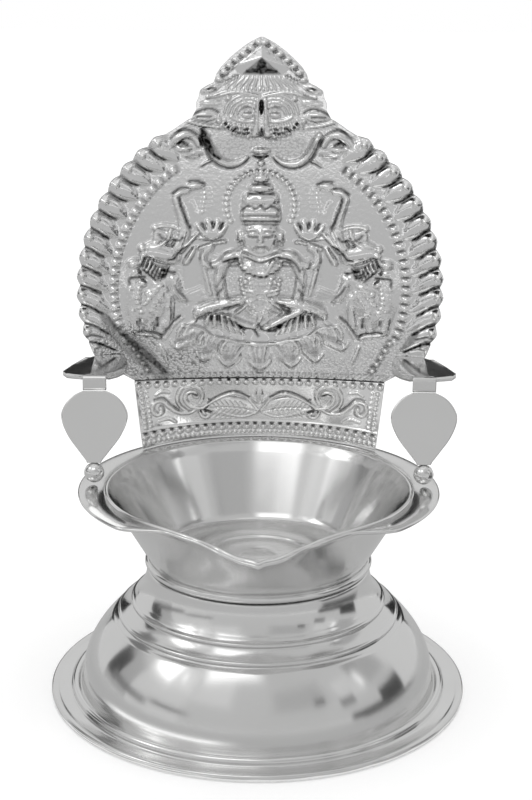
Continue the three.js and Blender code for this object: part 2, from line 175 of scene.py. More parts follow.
def polished_silver(name, gloss, spun):
    """Silver-white alloy, buffed: a soft mirror. On spun pieces the fine lines of the turning tool spread
    every reflection up and down along the wall, and keep it sharp round the axis."""
    material, tree = new_material(name)
    spot = in_millimetres(tree)
    # Haze in patches of about 11 mm, where a cloth has rubbed the metal less.
    haze = add_node(tree, "ShaderNodeTexNoise", {}, {"Vector": spot, "Scale": 0.09, "Detail": 4.0})
    sheen = add_node(tree, "ShaderNodeMapRange", {}, {
        "Value": haze.outputs["Fac"], "From Min": 0.35, "From Max": 0.7, "To Min": gloss[0],
        "To Max": gloss[1]})
    tint = add_node(tree, "ShaderNodeMix", {"data_type": "RGBA"}, {
        0: haze.outputs["Fac"], 6: linear("#eaeaea"), 7: linear("#e2e2e1")})
    # Slow waves, about 9 mm long, that the buff leaves in thin sheet.
    waves = add_node(tree, "ShaderNodeTexNoise", {}, {"Vector": spot, "Scale": 0.11, "Detail": 1.0})
    wave_bump = add_node(tree, "ShaderNodeBump", {}, {
        "Height": waves.outputs["Fac"], "Strength": 0.12, "Distance": 0.0003})
    # Hair lines about 0.14 mm apart, coarser than the real ones so that they show.
    stretched = add_node(tree, "ShaderNodeMapping", {}, {"Vector": spot, "Scale": (0.2, 0.2, 7.0)})
    hairs = add_node(tree, "ShaderNodeTexNoise", {}, {"Vector": stretched.outputs["Vector"], "Scale": 1.0})
    hair_bump = add_node(tree, "ShaderNodeBump", {}, {
        "Height": hairs.outputs["Fac"], "Strength": 0.15, "Distance": 0.00002,
        "Normal": wave_bump.outputs["Normal"]})
    shader = add_node(tree, "ShaderNodeBsdfPrincipled", {}, {
        "Base Color": tint.outputs[2], "Metallic": 1.0, "Roughness": sheen.outputs["Result"],
        "Normal": hair_bump.outputs["Normal"]})
    if spun:
        round_axis = add_node(tree, "ShaderNodeTangent", {"direction_type": "RADIAL", "axis": "Z"})
        tree.links.new(round_axis.outputs["Tangent"], shader.inputs["Tangent"])
        shader.inputs["Anisotropic"].default_value = 0.85
        shader.inputs["Anisotropic Rotation"].default_value = 0.25
    add_node(tree, "ShaderNodeOutputMaterial", {}, {"Surface": shader.outputs["BSDF"]})
    return material


def stamped_silver(name):
    """The same alloy die-stamped: a painted highlight lightens the raised work, it sparkles with fine beads
    where the ground is punched, and painted shade laid with tarnishing makes the narrow lines near black."""
    material, tree = new_material(name)
    spot = in_millimetres(tree)
    recess, crown, rough = (add_node(tree, "ShaderNodeAttribute", {"attribute_name": label}).outputs["Fac"]
                            for label in ("recess", "crown", "rough"))
    # Blotchy painted shade and tarnishing: a noise of about 0.7 mm breaks up their edges.
    blotch = add_node(tree, "ShaderNodeTexNoise", {}, {"Vector": spot, "Scale": 1.4, "Detail": 2.0})
    uneven = add_node(tree, "ShaderNodeMapRange", {}, {
        "Value": blotch.outputs["Fac"], "From Min": 0.3, "From Max": 0.65, "To Min": 0.8, "To Max": 1.15})
    # Punched beads about 0.5 mm apart.
    beads = add_node(tree, "ShaderNodeTexVoronoi", {}, {"Vector": spot, "Scale": 2.1})
    between_beads = add_node(tree, "ShaderNodeMapRange", {}, {
        "Value": beads.outputs["Distance"], "From Min": 0.45, "From Max": 0.8, "To Min": 0.0, "To Max": 0.6})
    pit_tarnish = add_node(tree, "ShaderNodeMath", {"operation": "MULTIPLY"}, {
        0: between_beads.outputs["Result"], 1: rough})
    line_shade_and_tarnish = add_node(tree, "ShaderNodeMath", {"operation": "MULTIPLY"}, {
        0: recess, 1: uneven.outputs["Result"]})
    shade_and_tarnish = add_node(tree, "ShaderNodeMath", {"operation": "MAXIMUM"}, {
        0: pit_tarnish.outputs["Value"], 1: line_shade_and_tarnish.outputs["Value"]})
    # Painted highlight: the crown mask lightens the raised tops from #eaeaea towards #fcfcfb.
    highlit = add_node(tree, "ShaderNodeMix", {"data_type": "RGBA"}, {
        0: crown, 6: linear("#eaeaea"), 7: linear("#fcfcfb")})
    # Painted shade and tarnishing darken the colour towards #121211.
    tint = add_node(tree, "ShaderNodeMix", {"data_type": "RGBA"}, {
        0: shade_and_tarnish.outputs["Value"], 6: highlit.outputs[2], 7: linear("#121211")})
    gloss = add_node(tree, "ShaderNodeMapRange", {}, {
        "Value": shade_and_tarnish.outputs["Value"], "From Min": 0.0, "From Max": 1.0, "To Min": 0.11, "To Max": 0.5})
    punch_strength = add_node(tree, "ShaderNodeMath", {"operation": "MULTIPLY"}, {0: rough, 1: 0.9})
    bead_height = add_node(tree, "ShaderNodeMapRange", {}, {
        "Value": beads.outputs["Distance"], "From Min": 0.0, "From Max": 0.7, "To Min": 1.0, "To Max": 0.0})
    bead_bump = add_node(tree, "ShaderNodeBump", {}, {
        "Height": bead_height.outputs["Result"], "Strength": punch_strength.outputs["Value"],
        "Distance": 0.00015})
    # Pits of about 0.6 mm that the die leaves all over the sheet.
    pits = add_node(tree, "ShaderNodeTexNoise", {}, {"Vector": spot, "Scale": 1.6, "Detail": 3.0})
    pit_strength = add_node(tree, "ShaderNodeMapRange", {}, {
        "Value": rough, "From Min": 0.0, "From Max": 1.0, "To Min": 0.22, "To Max": 0.9})
    pit_bump = add_node(tree, "ShaderNodeBump", {}, {
        "Height": pits.outputs["Fac"], "Strength": pit_strength.outputs["Result"], "Distance": 0.00008,
        "Normal": bead_bump.outputs["Normal"]})
    shader = add_node(tree, "ShaderNodeBsdfPrincipled", {}, {
        "Base Color": tint.outputs[2], "Metallic": 1.0, "Roughness": gloss.outputs["Result"],
        "Normal": pit_bump.outputs["Normal"]})
    add_node(tree, "ShaderNodeOutputMaterial", {}, {"Surface": shader.outputs["BSDF"]})
    return material


SPUN = polished_silver("spun_buffed_silver", (0.12, 0.17), True)
CUT = polished_silver("cut_buffed_silver", (0.11, 0.16), False)
STAMPED = stamped_silver("stamped_silver_sheet")


# Meshes

def turn_outward(mesh):
    """Makes every face of a closed mesh look outward."""
    work = bmesh.new()
    work.from_mesh(mesh)
    bmesh.ops.recalc_face_normals(work, faces=work.faces)
    work.to_mesh(mesh)
    work.free()


def new_piece(name, points, faces, material, slot, node):
    """A closed smooth mesh from points in millimetres, standing for one CAD node."""
    mesh = bpy.data.meshes.new(name)
    mesh.from_pydata([tuple(float(c) * MM for c in p) for p in points], [], faces)
    mesh.validate()
    turn_outward(mesh)
    mesh.shade_smooth()
    mesh.materials.append(material)
    piece = bpy.data.objects.new(name, mesh)
    bpy.context.scene.collection.objects.link(piece)
    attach(piece, "root")
    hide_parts(node)
    return piece


def curve(points, step):
    """A smooth curve through points, sampled about every step millimetres."""
    p = np.array(points, float)
    if len(p) == 2:
        count = max(int(np.linalg.norm(p[1] - p[0]) / step) + 1, 2)
        return p[0] + (p[1] - p[0]) * np.linspace(0, 1, count)[:, None]
    p = np.vstack([2 * p[0] - p[1], p, 2 * p[-1] - p[-2]])
    out = []
    for a, b, c, d in zip(p, p[1:], p[2:], p[3:]):
        count = max(int(np.linalg.norm(c - b) / step), 1)
        for t in np.linspace(0, 1, count, endpoint=False):
            out.append(0.5 * (2 * b + (c - a) * t + (2 * a - 5 * b + 4 * c - d) * t ** 2
                              + (3 * b - a - 3 * c + d) * t ** 3))
    out.append(p[-2])
    return np.array(out)


def turned(name, profile_at, node):
    """A turned piece. profile_at gives [radius, height] points at an angle from the spout."""
    count = len(profile_at(0.0))
    points, faces, rows = [], [], []
    for s in range(SEGMENTS):
        turn = 2 * math.pi * s / SEGMENTS
        row = []
        for k, (radius, height) in enumerate(profile_at(turn if turn <= math.pi else turn - 2 * math.pi)):
            if radius < 1e-6 and s > 0:
                row.append(rows[0][k])
                continue
            points.append((radius * math.sin(turn), -radius * math.cos(turn), height))
            row.append(len(points) - 1)
        rows.append(row)
    on_axis = profile_at(0.0)[0][0] < 1e-6
    for s in range(SEGMENTS):
        here, after = rows[s], rows[(s + 1) % SEGMENTS]
        for k in range(count - 1 if on_axis else count):
            m = (k + 1) % count
            corners = [here[k], after[k], after[m], here[m]]
            face = [c for i, c in enumerate(corners) if c != corners[i - 1]]
            if len(face) > 2:
                faces.append(face)
    return new_piece(name, points, faces, SPUN, "polished_silver", node)


def arc(radius_at, height_at, size, start, end, count):
    """Points [radius, height] on a small arc of the profile, angles in degrees."""
    angles = np.radians(np.linspace(start, end, count))
    return [[radius_at + size * math.cos(a), height_at + size * math.sin(a)] for a in angles]


# Foot

def foot_profile():
    edge = FOOT_RIM_HEIGHT
    outer = [[FOOT_RADIUS - 0.2, 0], [FOOT_RADIUS, 0.12], [FOOT_RADIUS, edge - 0.1]]
    outer += arc(FOOT_RADIUS - 0.45, edge - 0.05, 0.44, 15, 80, 5)
    outer += [[FOOT_RADIUS - 1.1, edge + 0.36], [FOOT_RADIUS - 1.45, edge + 0.2],
              [FOOT_RADIUS - 1.75, edge + 0.1], [FOOT_RADIUS - 3, edge + 0.08],
              [FOOT_RADIUS - 3.8, edge + 0.12]]
    outer += arc(BEAD_RADIUS, BEAD_HEIGHT, 0.84, -20, 196, 14)
    outer += [[DOME_FOOT_RADIUS + 0.22, DOME_FOOT_HEIGHT - 0.85],
              [DOME_FOOT_RADIUS + 0.05, DOME_FOOT_HEIGHT - 0.5]]
    rise = LOWER_RING_HEIGHT - DOME_FOOT_HEIGHT
    dome = [[mix(DOME_FOOT_RADIUS - 0.02, LOWER_RING_RADIUS - 0.3, t ** 2.1), DOME_FOOT_HEIGHT + rise * t]
            for t in np.linspace(0, 0.93, 24)]
    rings = []
    for radius, height in ((LOWER_RING_RADIUS, LOWER_RING_HEIGHT), (UPPER_RING_RADIUS, UPPER_RING_HEIGHT)):
        rings += [[radius - 0.12, height - 0.85], [radius - 0.2, height - 0.62]]
        rings += arc(radius - 0.42, height - 0.2, 0.42, -40, 80, 8)
        rings += [[radius - 0.5, height + 0.26], [radius - 0.62, height + 0.34],
                  [radius - 0.9, height + 0.55]]
    shoulder = [[mix(UPPER_RING_RADIUS - 0.9, NECK_RADIUS, math.sin(math.radians(90) * t)),
                 mix(UPPER_RING_HEIGHT + 0.75, FOOT_HEIGHT - 0.25, t ** 1.25)]
                for t in np.linspace(0.06, 1, 16)]
    top = [[NECK_RADIUS - 0.06, FOOT_HEIGHT - 0.08], [NECK_RADIUS - 0.3, FOOT_HEIGHT],
           [NECK_RADIUS - 5, FOOT_HEIGHT]]
    inner = [[NECK_RADIUS - 5, FOOT_HEIGHT - FOOT_WALL], [NECK_RADIUS - 1, FOOT_HEIGHT - FOOT_WALL - 0.3]]
    inner += [[r - 0.8, z - 0.3] for r, z in reversed(shoulder[:10])]
    inner += [[LOWER_RING_RADIUS - 1.9, LOWER_RING_HEIGHT - 0.9]]
    inner += [[r - FOOT_WALL * 1.15, z - 0.2] for r, z in reversed(dome[4:20])]
    inner += [[DOME_FOOT_RADIUS + 0.4, 0.5], [FOOT_RADIUS - 2, 0.3], [FOOT_RADIUS - 2, 0]]
    return [list(p) for p in outer + dome + rings + shoulder + top + inner]


FOOT_PROFILE = foot_profile()
turned("foot_spun", lambda angle: FOOT_PROFILE, "foot")


# Collar

def collar_profile():
    inner, low = CUP_FLOOR_RADIUS + 1.2, CUP_BOTTOM_Z
    bulge = arc(inner + 0.12, low + 0.75, 0.75, -88, 88, 14)
    return [[inner, low + 0.05], [inner + 0.1, low]] + bulge + [[inner, low + 1.48]]


COLLAR_PROFILE = collar_profile()
turned("collar_ring", lambda angle: COLLAR_PROFILE, "neck_collar")


# Cup and spout

def rim_radius(angle):
    """Two straight edges leave the rim's circle on a tangent and meet in the spout's rounded tip."""
    tip = CUP_RIM_RADIUS + SPOUT_REACH
    tangent = math.acos(CUP_RIM_RADIUS / tip)
    if abs(angle) >= tangent:
        return CUP_RIM_RADIUS
    sharp = CUP_RIM_RADIUS / math.cos(tangent - abs(angle))
    rounding = 1.6 * math.exp(-(angle / 0.075) ** 2)
    return sharp - rounding


def spout_share(angle):
    """0 on the round part of the rim and 1 at the spout's tip."""
    return max(rim_radius(angle) - CUP_RIM_RADIUS, 0) / (SPOUT_REACH - 1.6)


def spout_dip(angle):
    return SPOUT_DIP * spout_share(angle) ** 1.5


# Dents left in the spout's lip where it was pinched by hand: angle in degrees, width and depth.
LIP_DENTS = [(-33, 3.2, 0.5), (-21, 3.4, 0.65), (-12, 2.6, -0.45), (-2, 3.2, -0.5), (9, 2.4, -0.3),
             (15, 3, 0.6), (22, 2.4, -0.4), (31, 4, 0.35)]


def lip_dent(angle):
    degrees = math.degrees(angle)
    return sum(depth * math.exp(-((degrees - at) / width) ** 2) for at, width, depth in LIP_DENTS)


def cup_profile(angle):
    rim = rim_radius(angle)
    reach = rim - CUP_RIM_RADIUS
    pinched = min(spout_share(angle) * 2.5, 1)
    dent = lip_dent(angle) * pinched
    dip = spout_dip(angle) + 0.4 * dent
    rim_z = CUP_RIM_Z - dip

    def wall(t, offset):
        radius = (mix(CUP_FLOOR_RADIUS + 0.3, CUP_RIM_RADIUS - CUP_WALL, t) + reach * t ** 1.6 + offset
                  - 0.6 * dent * smooth_step(0.45, 0.9, t))
        return [radius, mix(CUP_FLOOR_Z + 0.6, CUP_RIM_Z - 0.4, t) - dip * t ** 2]

    floor = [[0, CUP_FLOOR_Z], [3.2, CUP_FLOOR_Z], [3.5, CUP_FLOOR_Z + 0.12], [3.9, CUP_FLOOR_Z + 0.12],
             [4.2, CUP_FLOOR_Z], [9.9, CUP_FLOOR_Z]]
    floor += arc(10.8, CUP_FLOOR_Z, 0.5, 160, 20, 7)
    floor += [[11.8, CUP_FLOOR_Z], [CUP_FLOOR_RADIUS - 2.4, CUP_FLOOR_Z],
              [CUP_FLOOR_RADIUS - 2.1, CUP_FLOOR_Z + 0.2], [CUP_FLOOR_RADIUS - 0.6, CUP_FLOOR_Z + 0.3],
              [CUP_FLOOR_RADIUS - 0.1, CUP_FLOOR_Z + 0.42]]
    inside = [wall(t, 0) for t in np.linspace(0.03, 0.97, 16)]
    size = mix(0.42, 0.6, pinched) - 0.12 * dent
    roll = arc(rim + 0.3 - 0.6 * dent, rim_z + 0.3 - size * 0.6, size, 170, -70, 14)
    outside = [wall(t, CUP_WALL) for t in np.linspace(0.95, 0.05, 14)]
    under = [[CUP_FLOOR_RADIUS + 0.9, CUP_BOTTOM_Z + 0.5], [CUP_FLOOR_RADIUS + 0.1, CUP_BOTTOM_Z],
             [0, CUP_BOTTOM_Z]]
    return floor + inside + roll + outside + under


turned("oil_cup_spun", cup_profile, "oil_cup")


# Flange

def flange_profile(angle):
    inner = rim_radius(angle) + 0.78 - 0.6 * lip_dent(angle) * min(spout_share(angle) * 2.5, 1)
    wide = float(smooth_step(math.radians(32), math.radians(48), abs(angle)))
    outer = max(inner + 0.6, mix(inner + 0.6, FLANGE_RADIUS, wide))
    top = FLANGE_TOP_Z - spout_dip(angle)
    bottom = top - FLANGE_THICKNESS
    edge = arc(outer - 0.3, top - 0.35, 0.3, 90, -90, 7)
    return [[inner, bottom], [inner, top - 0.3], [inner + 0.15, top - 0.12]] + edge + [[outer - 0.4, bottom]]


turned("flange_ring", flange_profile, "cup_flange")


# Embossing

# Steps in millimetres along a curve that is drawn, and along one that beads are spaced on.
DRAWN_STEP = 0.45
BEADED_STEP = 0.1
# How steeply a raised form falls to its edge: like a wire laid on the sheet, or blended into it.
WIRE_FALL = 0.5
SOFT_FALL = 1.4


class Relief:
    """Height of the embossing over a grid of points on a sheet, all in millimetres, the painted shade and
    tarnishing laid on it and how rough its ground is. Most motifs come in left and right twins, so a method
    draws both unless twin is False."""

    def __init__(self, x, z):
        self.x, self.z = x, z
        self.height = np.zeros_like(x)
        self.shade_and_tarnish = np.zeros_like(x)
        self.rough = np.zeros_like(x)
        # The narrowest line of painted shade and tarnishing that the grid can hold.
        self.finest = 1.2 * (z[1, 0] - z[0, 0])

    def window(self, x0, x1, z0, z1):
        """The part of the grid that covers a rectangle."""
        rows = slice(*np.searchsorted(self.z[:, 0], (z0, z1)))
        inside = ((self.x[rows] >= x0) & (self.x[rows] <= x1)).any(axis=0)
        found = np.flatnonzero(inside)
        if len(found) == 0:
            return None
        return rows, slice(found[0], found[-1] + 1)

    def along_curve(self, points, width, twin):
        """Gives, for each short piece of a smooth curve, the points near it, how far across the curve they
        lie as a share of its half width, and their place along it from 0 to 1."""
        path = curve(points, DRAWN_STEP)
        share = np.linspace(0, 1, len(path))
        widths = np.interp(share, np.linspace(0, 1, np.size(width)), np.atleast_1d(width))
        for side in (1, -1) if twin else (1,):
            for k in range(len(path) - 1):
                a, b = path[k] * (side, 1), path[k + 1] * (side, 1)
                reach = max(widths[k], widths[k + 1])
                part = self.window(min(a[0], b[0]) - reach, max(a[0], b[0]) + reach,
                                   min(a[1], b[1]) - reach, max(a[1], b[1]) + reach)
                if part is None:
                    continue
                dx, dz = self.x[part] - a[0], self.z[part] - a[1]
                run_x, run_z = b - a
                t = np.clip((dx * run_x + dz * run_z) / max(run_x ** 2 + run_z ** 2, 1e-9), 0, 1)
                across = np.hypot(dx - t * run_x, dz - t * run_z) / mix(widths[k], widths[k + 1], t)
                yield part, across, mix(share[k], share[k + 1], t)

    def build_up(self, part, fall, lift, height, soft):
        """Raises a form where fall, which is 0 on its middle and 1 on its edge, is below 1."""
        top = lift + height * np.clip(1 - fall, 0, 1) ** (SOFT_FALL if soft else WIRE_FALL)
        self.height[part] = np.where(fall < 1, np.maximum(self.height[part], top), self.height[part])

    def strand(self, points, width, height, lift=0.0, twin=True, soft=False):
        """A raised strand along a smooth curve. Width (half) and height may be lists spread along it.
        A soft one blends into the ground instead of rising steeply."""
        heights = np.atleast_1d(height)
        for part, across, t in self.along_curve(points, width, twin):
            tall = np.interp(t, np.linspace(0, 1, len(heights)), heights)
            self.build_up(part, across ** 2, lift, tall, soft)

    def groove(self, points, width, depth, twin=True, darkening=0.0):
        """A line pressed into what is already raised. Darkening is how dark it is painted, 0 to 1: tarnishing
        and painted shade.
        """
        cut = np.zeros_like(self.height)
        for part, across, _ in self.along_curve(points, width, twin):
            cut[part] = np.maximum(cut[part], np.clip(1 - across ** 2, 0, 1))
        self.height -= depth * cut
        if darkening:
            self.shade_and_tarnish_line(points, np.maximum(width, self.finest), darkening, twin)

    def shade_and_tarnish_line(self, points, width, darkening, twin=True):
        """Painted shade and tarnishing laid along a smooth curve, 0 to 1."""
        for part, across, _ in self.along_curve(points, width, twin):
            self.shade_and_tarnish[part] = np.maximum(self.shade_and_tarnish[part], darkening * np.clip(3 - 3 * across ** 2, 0, 1))

    def punched(self, x0, x1, z0, z1, share, twin=True):
        """A field roughened with a beading punch: how strongly, 0 to 1, with soft borders."""
        for side in (1, -1) if twin else (1,):
            x = side * self.x
            inside = (smooth_step(x0 - 1, x0 + 1, x) * smooth_step(-x1 - 1, -x1 + 1, -x)
                      * smooth_step(z0 - 1, z0 + 1, self.z) * smooth_step(-z1 - 1, -z1 + 1, -self.z))
            self.rough = np.maximum(self.rough, share * inside)

    def blob(self, x, z, rx, rz, height, turn=0.0, lift=0.0, twin=True, power=2.0, soft=False):
        """A rounded boss with an elliptical outline, turned by some degrees."""
        for side in (1, -1) if twin else (1,):
            angle = math.radians(turn) * side
            reach = max(rx, rz)
            part = self.window(side * x - reach, side * x + reach, z - reach, z + reach)
            if part is None:
                continue
            dx, dz = self.x[part] - side * x, self.z[part] - z
            fall = (np.abs((dx * math.cos(angle) + dz * math.sin(angle)) / rx) ** power
                    + np.abs((dz * math.cos(angle) - dx * math.sin(angle)) / rz) ** power)
            self.build_up(part, fall, lift, height, soft)

    def beads(self, points, pitch, size, height, lift=0.0, twin=True, darkening=0.0):
        """A row of round beads along a smooth curve, with a line of painted shade over each one where
        darkening is above 0.
        """
        path = curve(points, BEADED_STEP)
        run = np.concatenate([[0], np.cumsum(np.linalg.norm(np.diff(path, axis=0), axis=1))])
        count = max(int(round(run[-1] / pitch)), 1)
        for spot in np.linspace(0, run[-1], count + 1):
            x, z = np.interp(spot, run, path[:, 0]), np.interp(spot, run, path[:, 1])
            self.blob(x, z, size, size, height, lift=lift, twin=twin)
            if darkening:
                top = z + size * 0.95
                self.groove([[x - size * 0.45, top], [x + size * 0.45, top]], size * 0.3, 0.1, twin, darkening=darkening)

    def leaf(self, base, tip, width, height, veins=0, twin=True, bend=0.0):
        """A pointed leaf with a pressed midrib and side veins."""
        base, tip = np.array(base, float), np.array(tip, float)
        run = tip - base
        side_way = np.array([-run[1], run[0]]) / np.linalg.norm(run)
        spine = [base, base + run * 0.35 + side_way * bend, base + run * 0.7 + side_way * bend * 0.8, tip]
        self.strand(spine, [width * 0.35, width * 0.9, width, width * 0.8, 0.15],
                    [height * 0.7, height, height, height * 0.8, height * 0.3], twin=twin)
        self.groove(spine[:3] + [base + run * 0.92], 0.22, height * 0.45, twin)
        for k in range(veins):
            foot = base + run * (0.15 + 0.62 * k / max(veins - 1, 1))
            for way in (1, -1):
                end = foot + run / np.linalg.norm(run) * width * 0.75 + side_way * way * width * 0.8
                self.groove([foot, end], 0.16, height * 0.3, twin)

    def pyramid(self, corners, apex, height, dark_side, darkening):
        """A cut gem: a flat facet from each side of its outline up to the apex, one of them painted dark as
        shade.
        """
        part = self.window(min(c[0] for c in corners), max(c[0] for c in corners),
                           min(c[1] for c in corners), max(c[1] for c in corners))
        shares = []
        for a, b in zip(corners, corners[1:] + corners[:1]):
            ex, ez = b[0] - a[0], b[1] - a[1]
            point = ex * (self.z[part] - a[1]) - ez * (self.x[part] - a[0])
            shares.append(point / (ex * (apex[1] - a[1]) - ez * (apex[0] - a[0])))
        share = np.min(shares, axis=0)
        dark = (np.argmin(shares, axis=0) == dark_side) & (share > 0)
        self.height[part] = np.maximum(self.height[part], height * share)
        self.shade_and_tarnish[part] = np.where(dark, darkening, self.shade_and_tarnish[part])


BORDER_CENTRE = 71.2


def polar(radius, degrees, centre_z=BORDER_CENTRE):
    """A point beside the arch's middle, as [x, z]."""
    angle = math.radians(degrees)
    return [radius * math.cos(angle), centre_z + radius * math.sin(angle)]


# Petals of the border, all in degrees round the arch.
FIRST_PETAL = -13.8
PETAL_PITCH = 6.2
PETAL_COUNT = 12
PETAL_ANGLES = [FIRST_PETAL + PETAL_PITCH * k for k in range(PETAL_COUNT)]
# The row of pearls inside the petals: its circle in millimetres, and its range and pitch in degrees.
PEARL_CENTRE = 71
PEARL_RADIUS = 28.8
PEARL_ANGLES = np.arange(-21, 57, 3.55)
PEARL_HALF_PITCH = 1.78


def petal_fall(angle):
    """How many degrees a petal falls from its tip to its root."""
    return float(np.interp(angle, [-14, -6, 5, 20, 27, 38, 50], [9, 7.5, 4.4, 3.2, 1.6, -1.2, -2.6]))


def border(relief):
    for angle in PETAL_ANGLES:
        fall = petal_fall(angle)
        spine = [polar(30.4, angle - fall), polar(31.9, angle - fall * 0.62), polar(33.5, angle - fall * 0.2),
                 polar(35.2, angle + 0.3)]
        relief.strand(spine, [0.6, 1.2, 1.75, 1.8, 1.3], [0.3, 0.6, 0.95, 1.1, 0.9])
        relief.blob(*polar(34.8, angle + 0.7), 1.2, 1.1, 1.75, turn=angle, soft=True)
        relief.strand([polar(30.6, angle - fall * 0.9 + 1.1), polar(32.2, angle - fall * 0.55 + 1.3),
                       polar(33.6, angle - fall * 0.2 + 1.3)], [0.2, 0.4, 0.2], [0.5, 0.95, 1.1])
        gap = [polar(radius, angle - fall * share - turn) for radius, share, turn in (
            (31.4, 0.75, 2.7), (32.4, 0.45, 2.95), (33.6, 0.18, 2.9), (35.2, 0, 2.75))]
        relief.groove(gap, [0.16, 0.34, 0.3, 0.14], 0.3, darkening=1)
        # Painted shade: dark wedges at the outer ends of the right-hand petals only.
        relief.shade_and_tarnish_line([polar(33.4, angle - fall * 0.2 - 2.3), polar(35.1, angle - 2.2)], [0.25, 0.55, 0.3],
                     0.85, twin=False)
    relief.strand([[33.6, 59.2], [34, 60.4], [33.2, 61.6], [31.8, 61.4]], [0.9, 1.2, 1.1, 0.7],
                  [1.0, 1.2, 1.1, 0.7])
    relief.blob(32.4, 60.3, 0.8, 0.8, 1.3)
    relief.groove([[34.8, 61.9], [33, 62.4], [31, 61.8]], 0.25, 0.3, darkening=0.8)
    for angle in PEARL_ANGLES:
        relief.blob(*polar(PEARL_RADIUS, angle, PEARL_CENTRE), 0.8, 0.72, 0.5, turn=angle, power=3, soft=True)
        ends = [polar(PEARL_RADIUS + reach, angle + PEARL_HALF_PITCH, PEARL_CENTRE) for reach in (-0.6, 0.6)]
        for side, size, darkening in ((-1, 0.22, 0.5), (1, 0.34, 0.75)):
            relief.groove([[side * x, z] for x, z in ends], size, 0.2, twin=False, darkening=darkening)
    relief.beads([[25.9, 60.5], [24.9, 58.7], [23.9, 56.9], [22.6, 54.6]], 1.7, 0.7, 1.3, darkening=0.8)
    # A broad painted shadow of the left arm lies over the left corner.
    painted_shadow = [[-31, 66], [-28.5, 62.5], [-25.5, 59.5], [-22.3, 56.3], [-19.5, 53.3]]
    relief.shade_and_tarnish_line(painted_shadow, [0.7, 1.6, 2.3, 2.2, 1.6], 0.42, twin=False)
    relief.shade_and_tarnish_line([[x + 0.5, z + 0.3] for x, z in painted_shadow], [0.2, 0.5, 0.7, 0.8, 0.6], 0.82, twin=False)
    relief.punched(-32, -20.5, 53, 64, 1, twin=False)
    relief.shade_and_tarnish_line([[31.2, 63.5], [30, 61.5], [28.4, 59.4]], [0.5, 0.8, 0.5], 0.5, twin=False)
    relief.punched(29.5, 37, 58, 102, 0.08)
    relief.punched(20, 30, 50, 64, 0.3)


def crest(relief):
    rope = [[0.5, 118.9], [2, 117.8], [3.4, 116.7], [4.9, 115.6], [6.1, 114.5], [7.2, 113.3], [8.1, 111.9]]
    for k, (x, z) in enumerate(rope):
        relief.blob(x, z, 0.9, 0.6, 0.9, turn=14)
        if k:
            x, z = mix(x, rope[k - 1][0], 0.5), mix(z, rope[k - 1][1], 0.5)
            relief.groove([[x - 0.4, z - 0.15], [x + 0.25, z + 0.1]], 0.16, 0.2, darkening=0.7)
    relief.strand([[0, 118.6], [3.1, 115.9], [6, 113.7]], 0.2, 0.4)
    # Painted shade: the gem's lower facet is dark, and more painted shade lies below the gem.
    relief.pyramid([(0, 118.7), (-5.5, 114.3), (-3.9, 112.8), (3.9, 112.8), (5.5, 114.3)], (0, 116.2), 2.1, 2,
                   0.55)
    relief.shade_and_tarnish_line([[0, 115.8], [0, 114.8], [0, 114]], [0.3, 0.9, 1.3], 0.9, twin=False)
    relief.shade_and_tarnish_line([[-2.8, 113.4], [0, 113.6], [2.8, 113.4]], [0.4, 0.7, 0.4], 0.9, twin=False)
    relief.beads([[4.8, 112.4], [6.7, 111.4]], 0.8, 0.36, 0.6, darkening=0.6)
    for k in range(-5, 6):
        relief.strand([[k * 0.85, 112.2], [k * 1.05 + 0.1 * k, 111.2], [k * 1.3, 110.5]], 0.3, 0.35,
                      twin=False, soft=True)
    relief.beads([[0.4, 110], [3, 110.1], [6.6, 110.1]], 0.75, 0.24, 0.4)
    relief.strand([[0.3, 108.7], [2.4, 109.2], [5, 109.5], [7.6, 109], [9.4, 108.4], [10.5, 108.4]],
                  [0.3, 0.45, 0.4, 0.3], 0.6, soft=True)
    relief.groove([[8.2, 109], [9.2, 108.5], [10.6, 108.3]], 0.16, 0.2, darkening=0.55)
    relief.leaf([8.2, 110.4], [11.9, 109.7], 0.7, 0.6)
    relief.groove([[8.9, 110], [9.6, 110.3], [10.4, 110]], 0.2, 0.3, darkening=0.8)
    relief.leaf([7.8, 107.5], [11.8, 107.3], 0.6, 0.45)


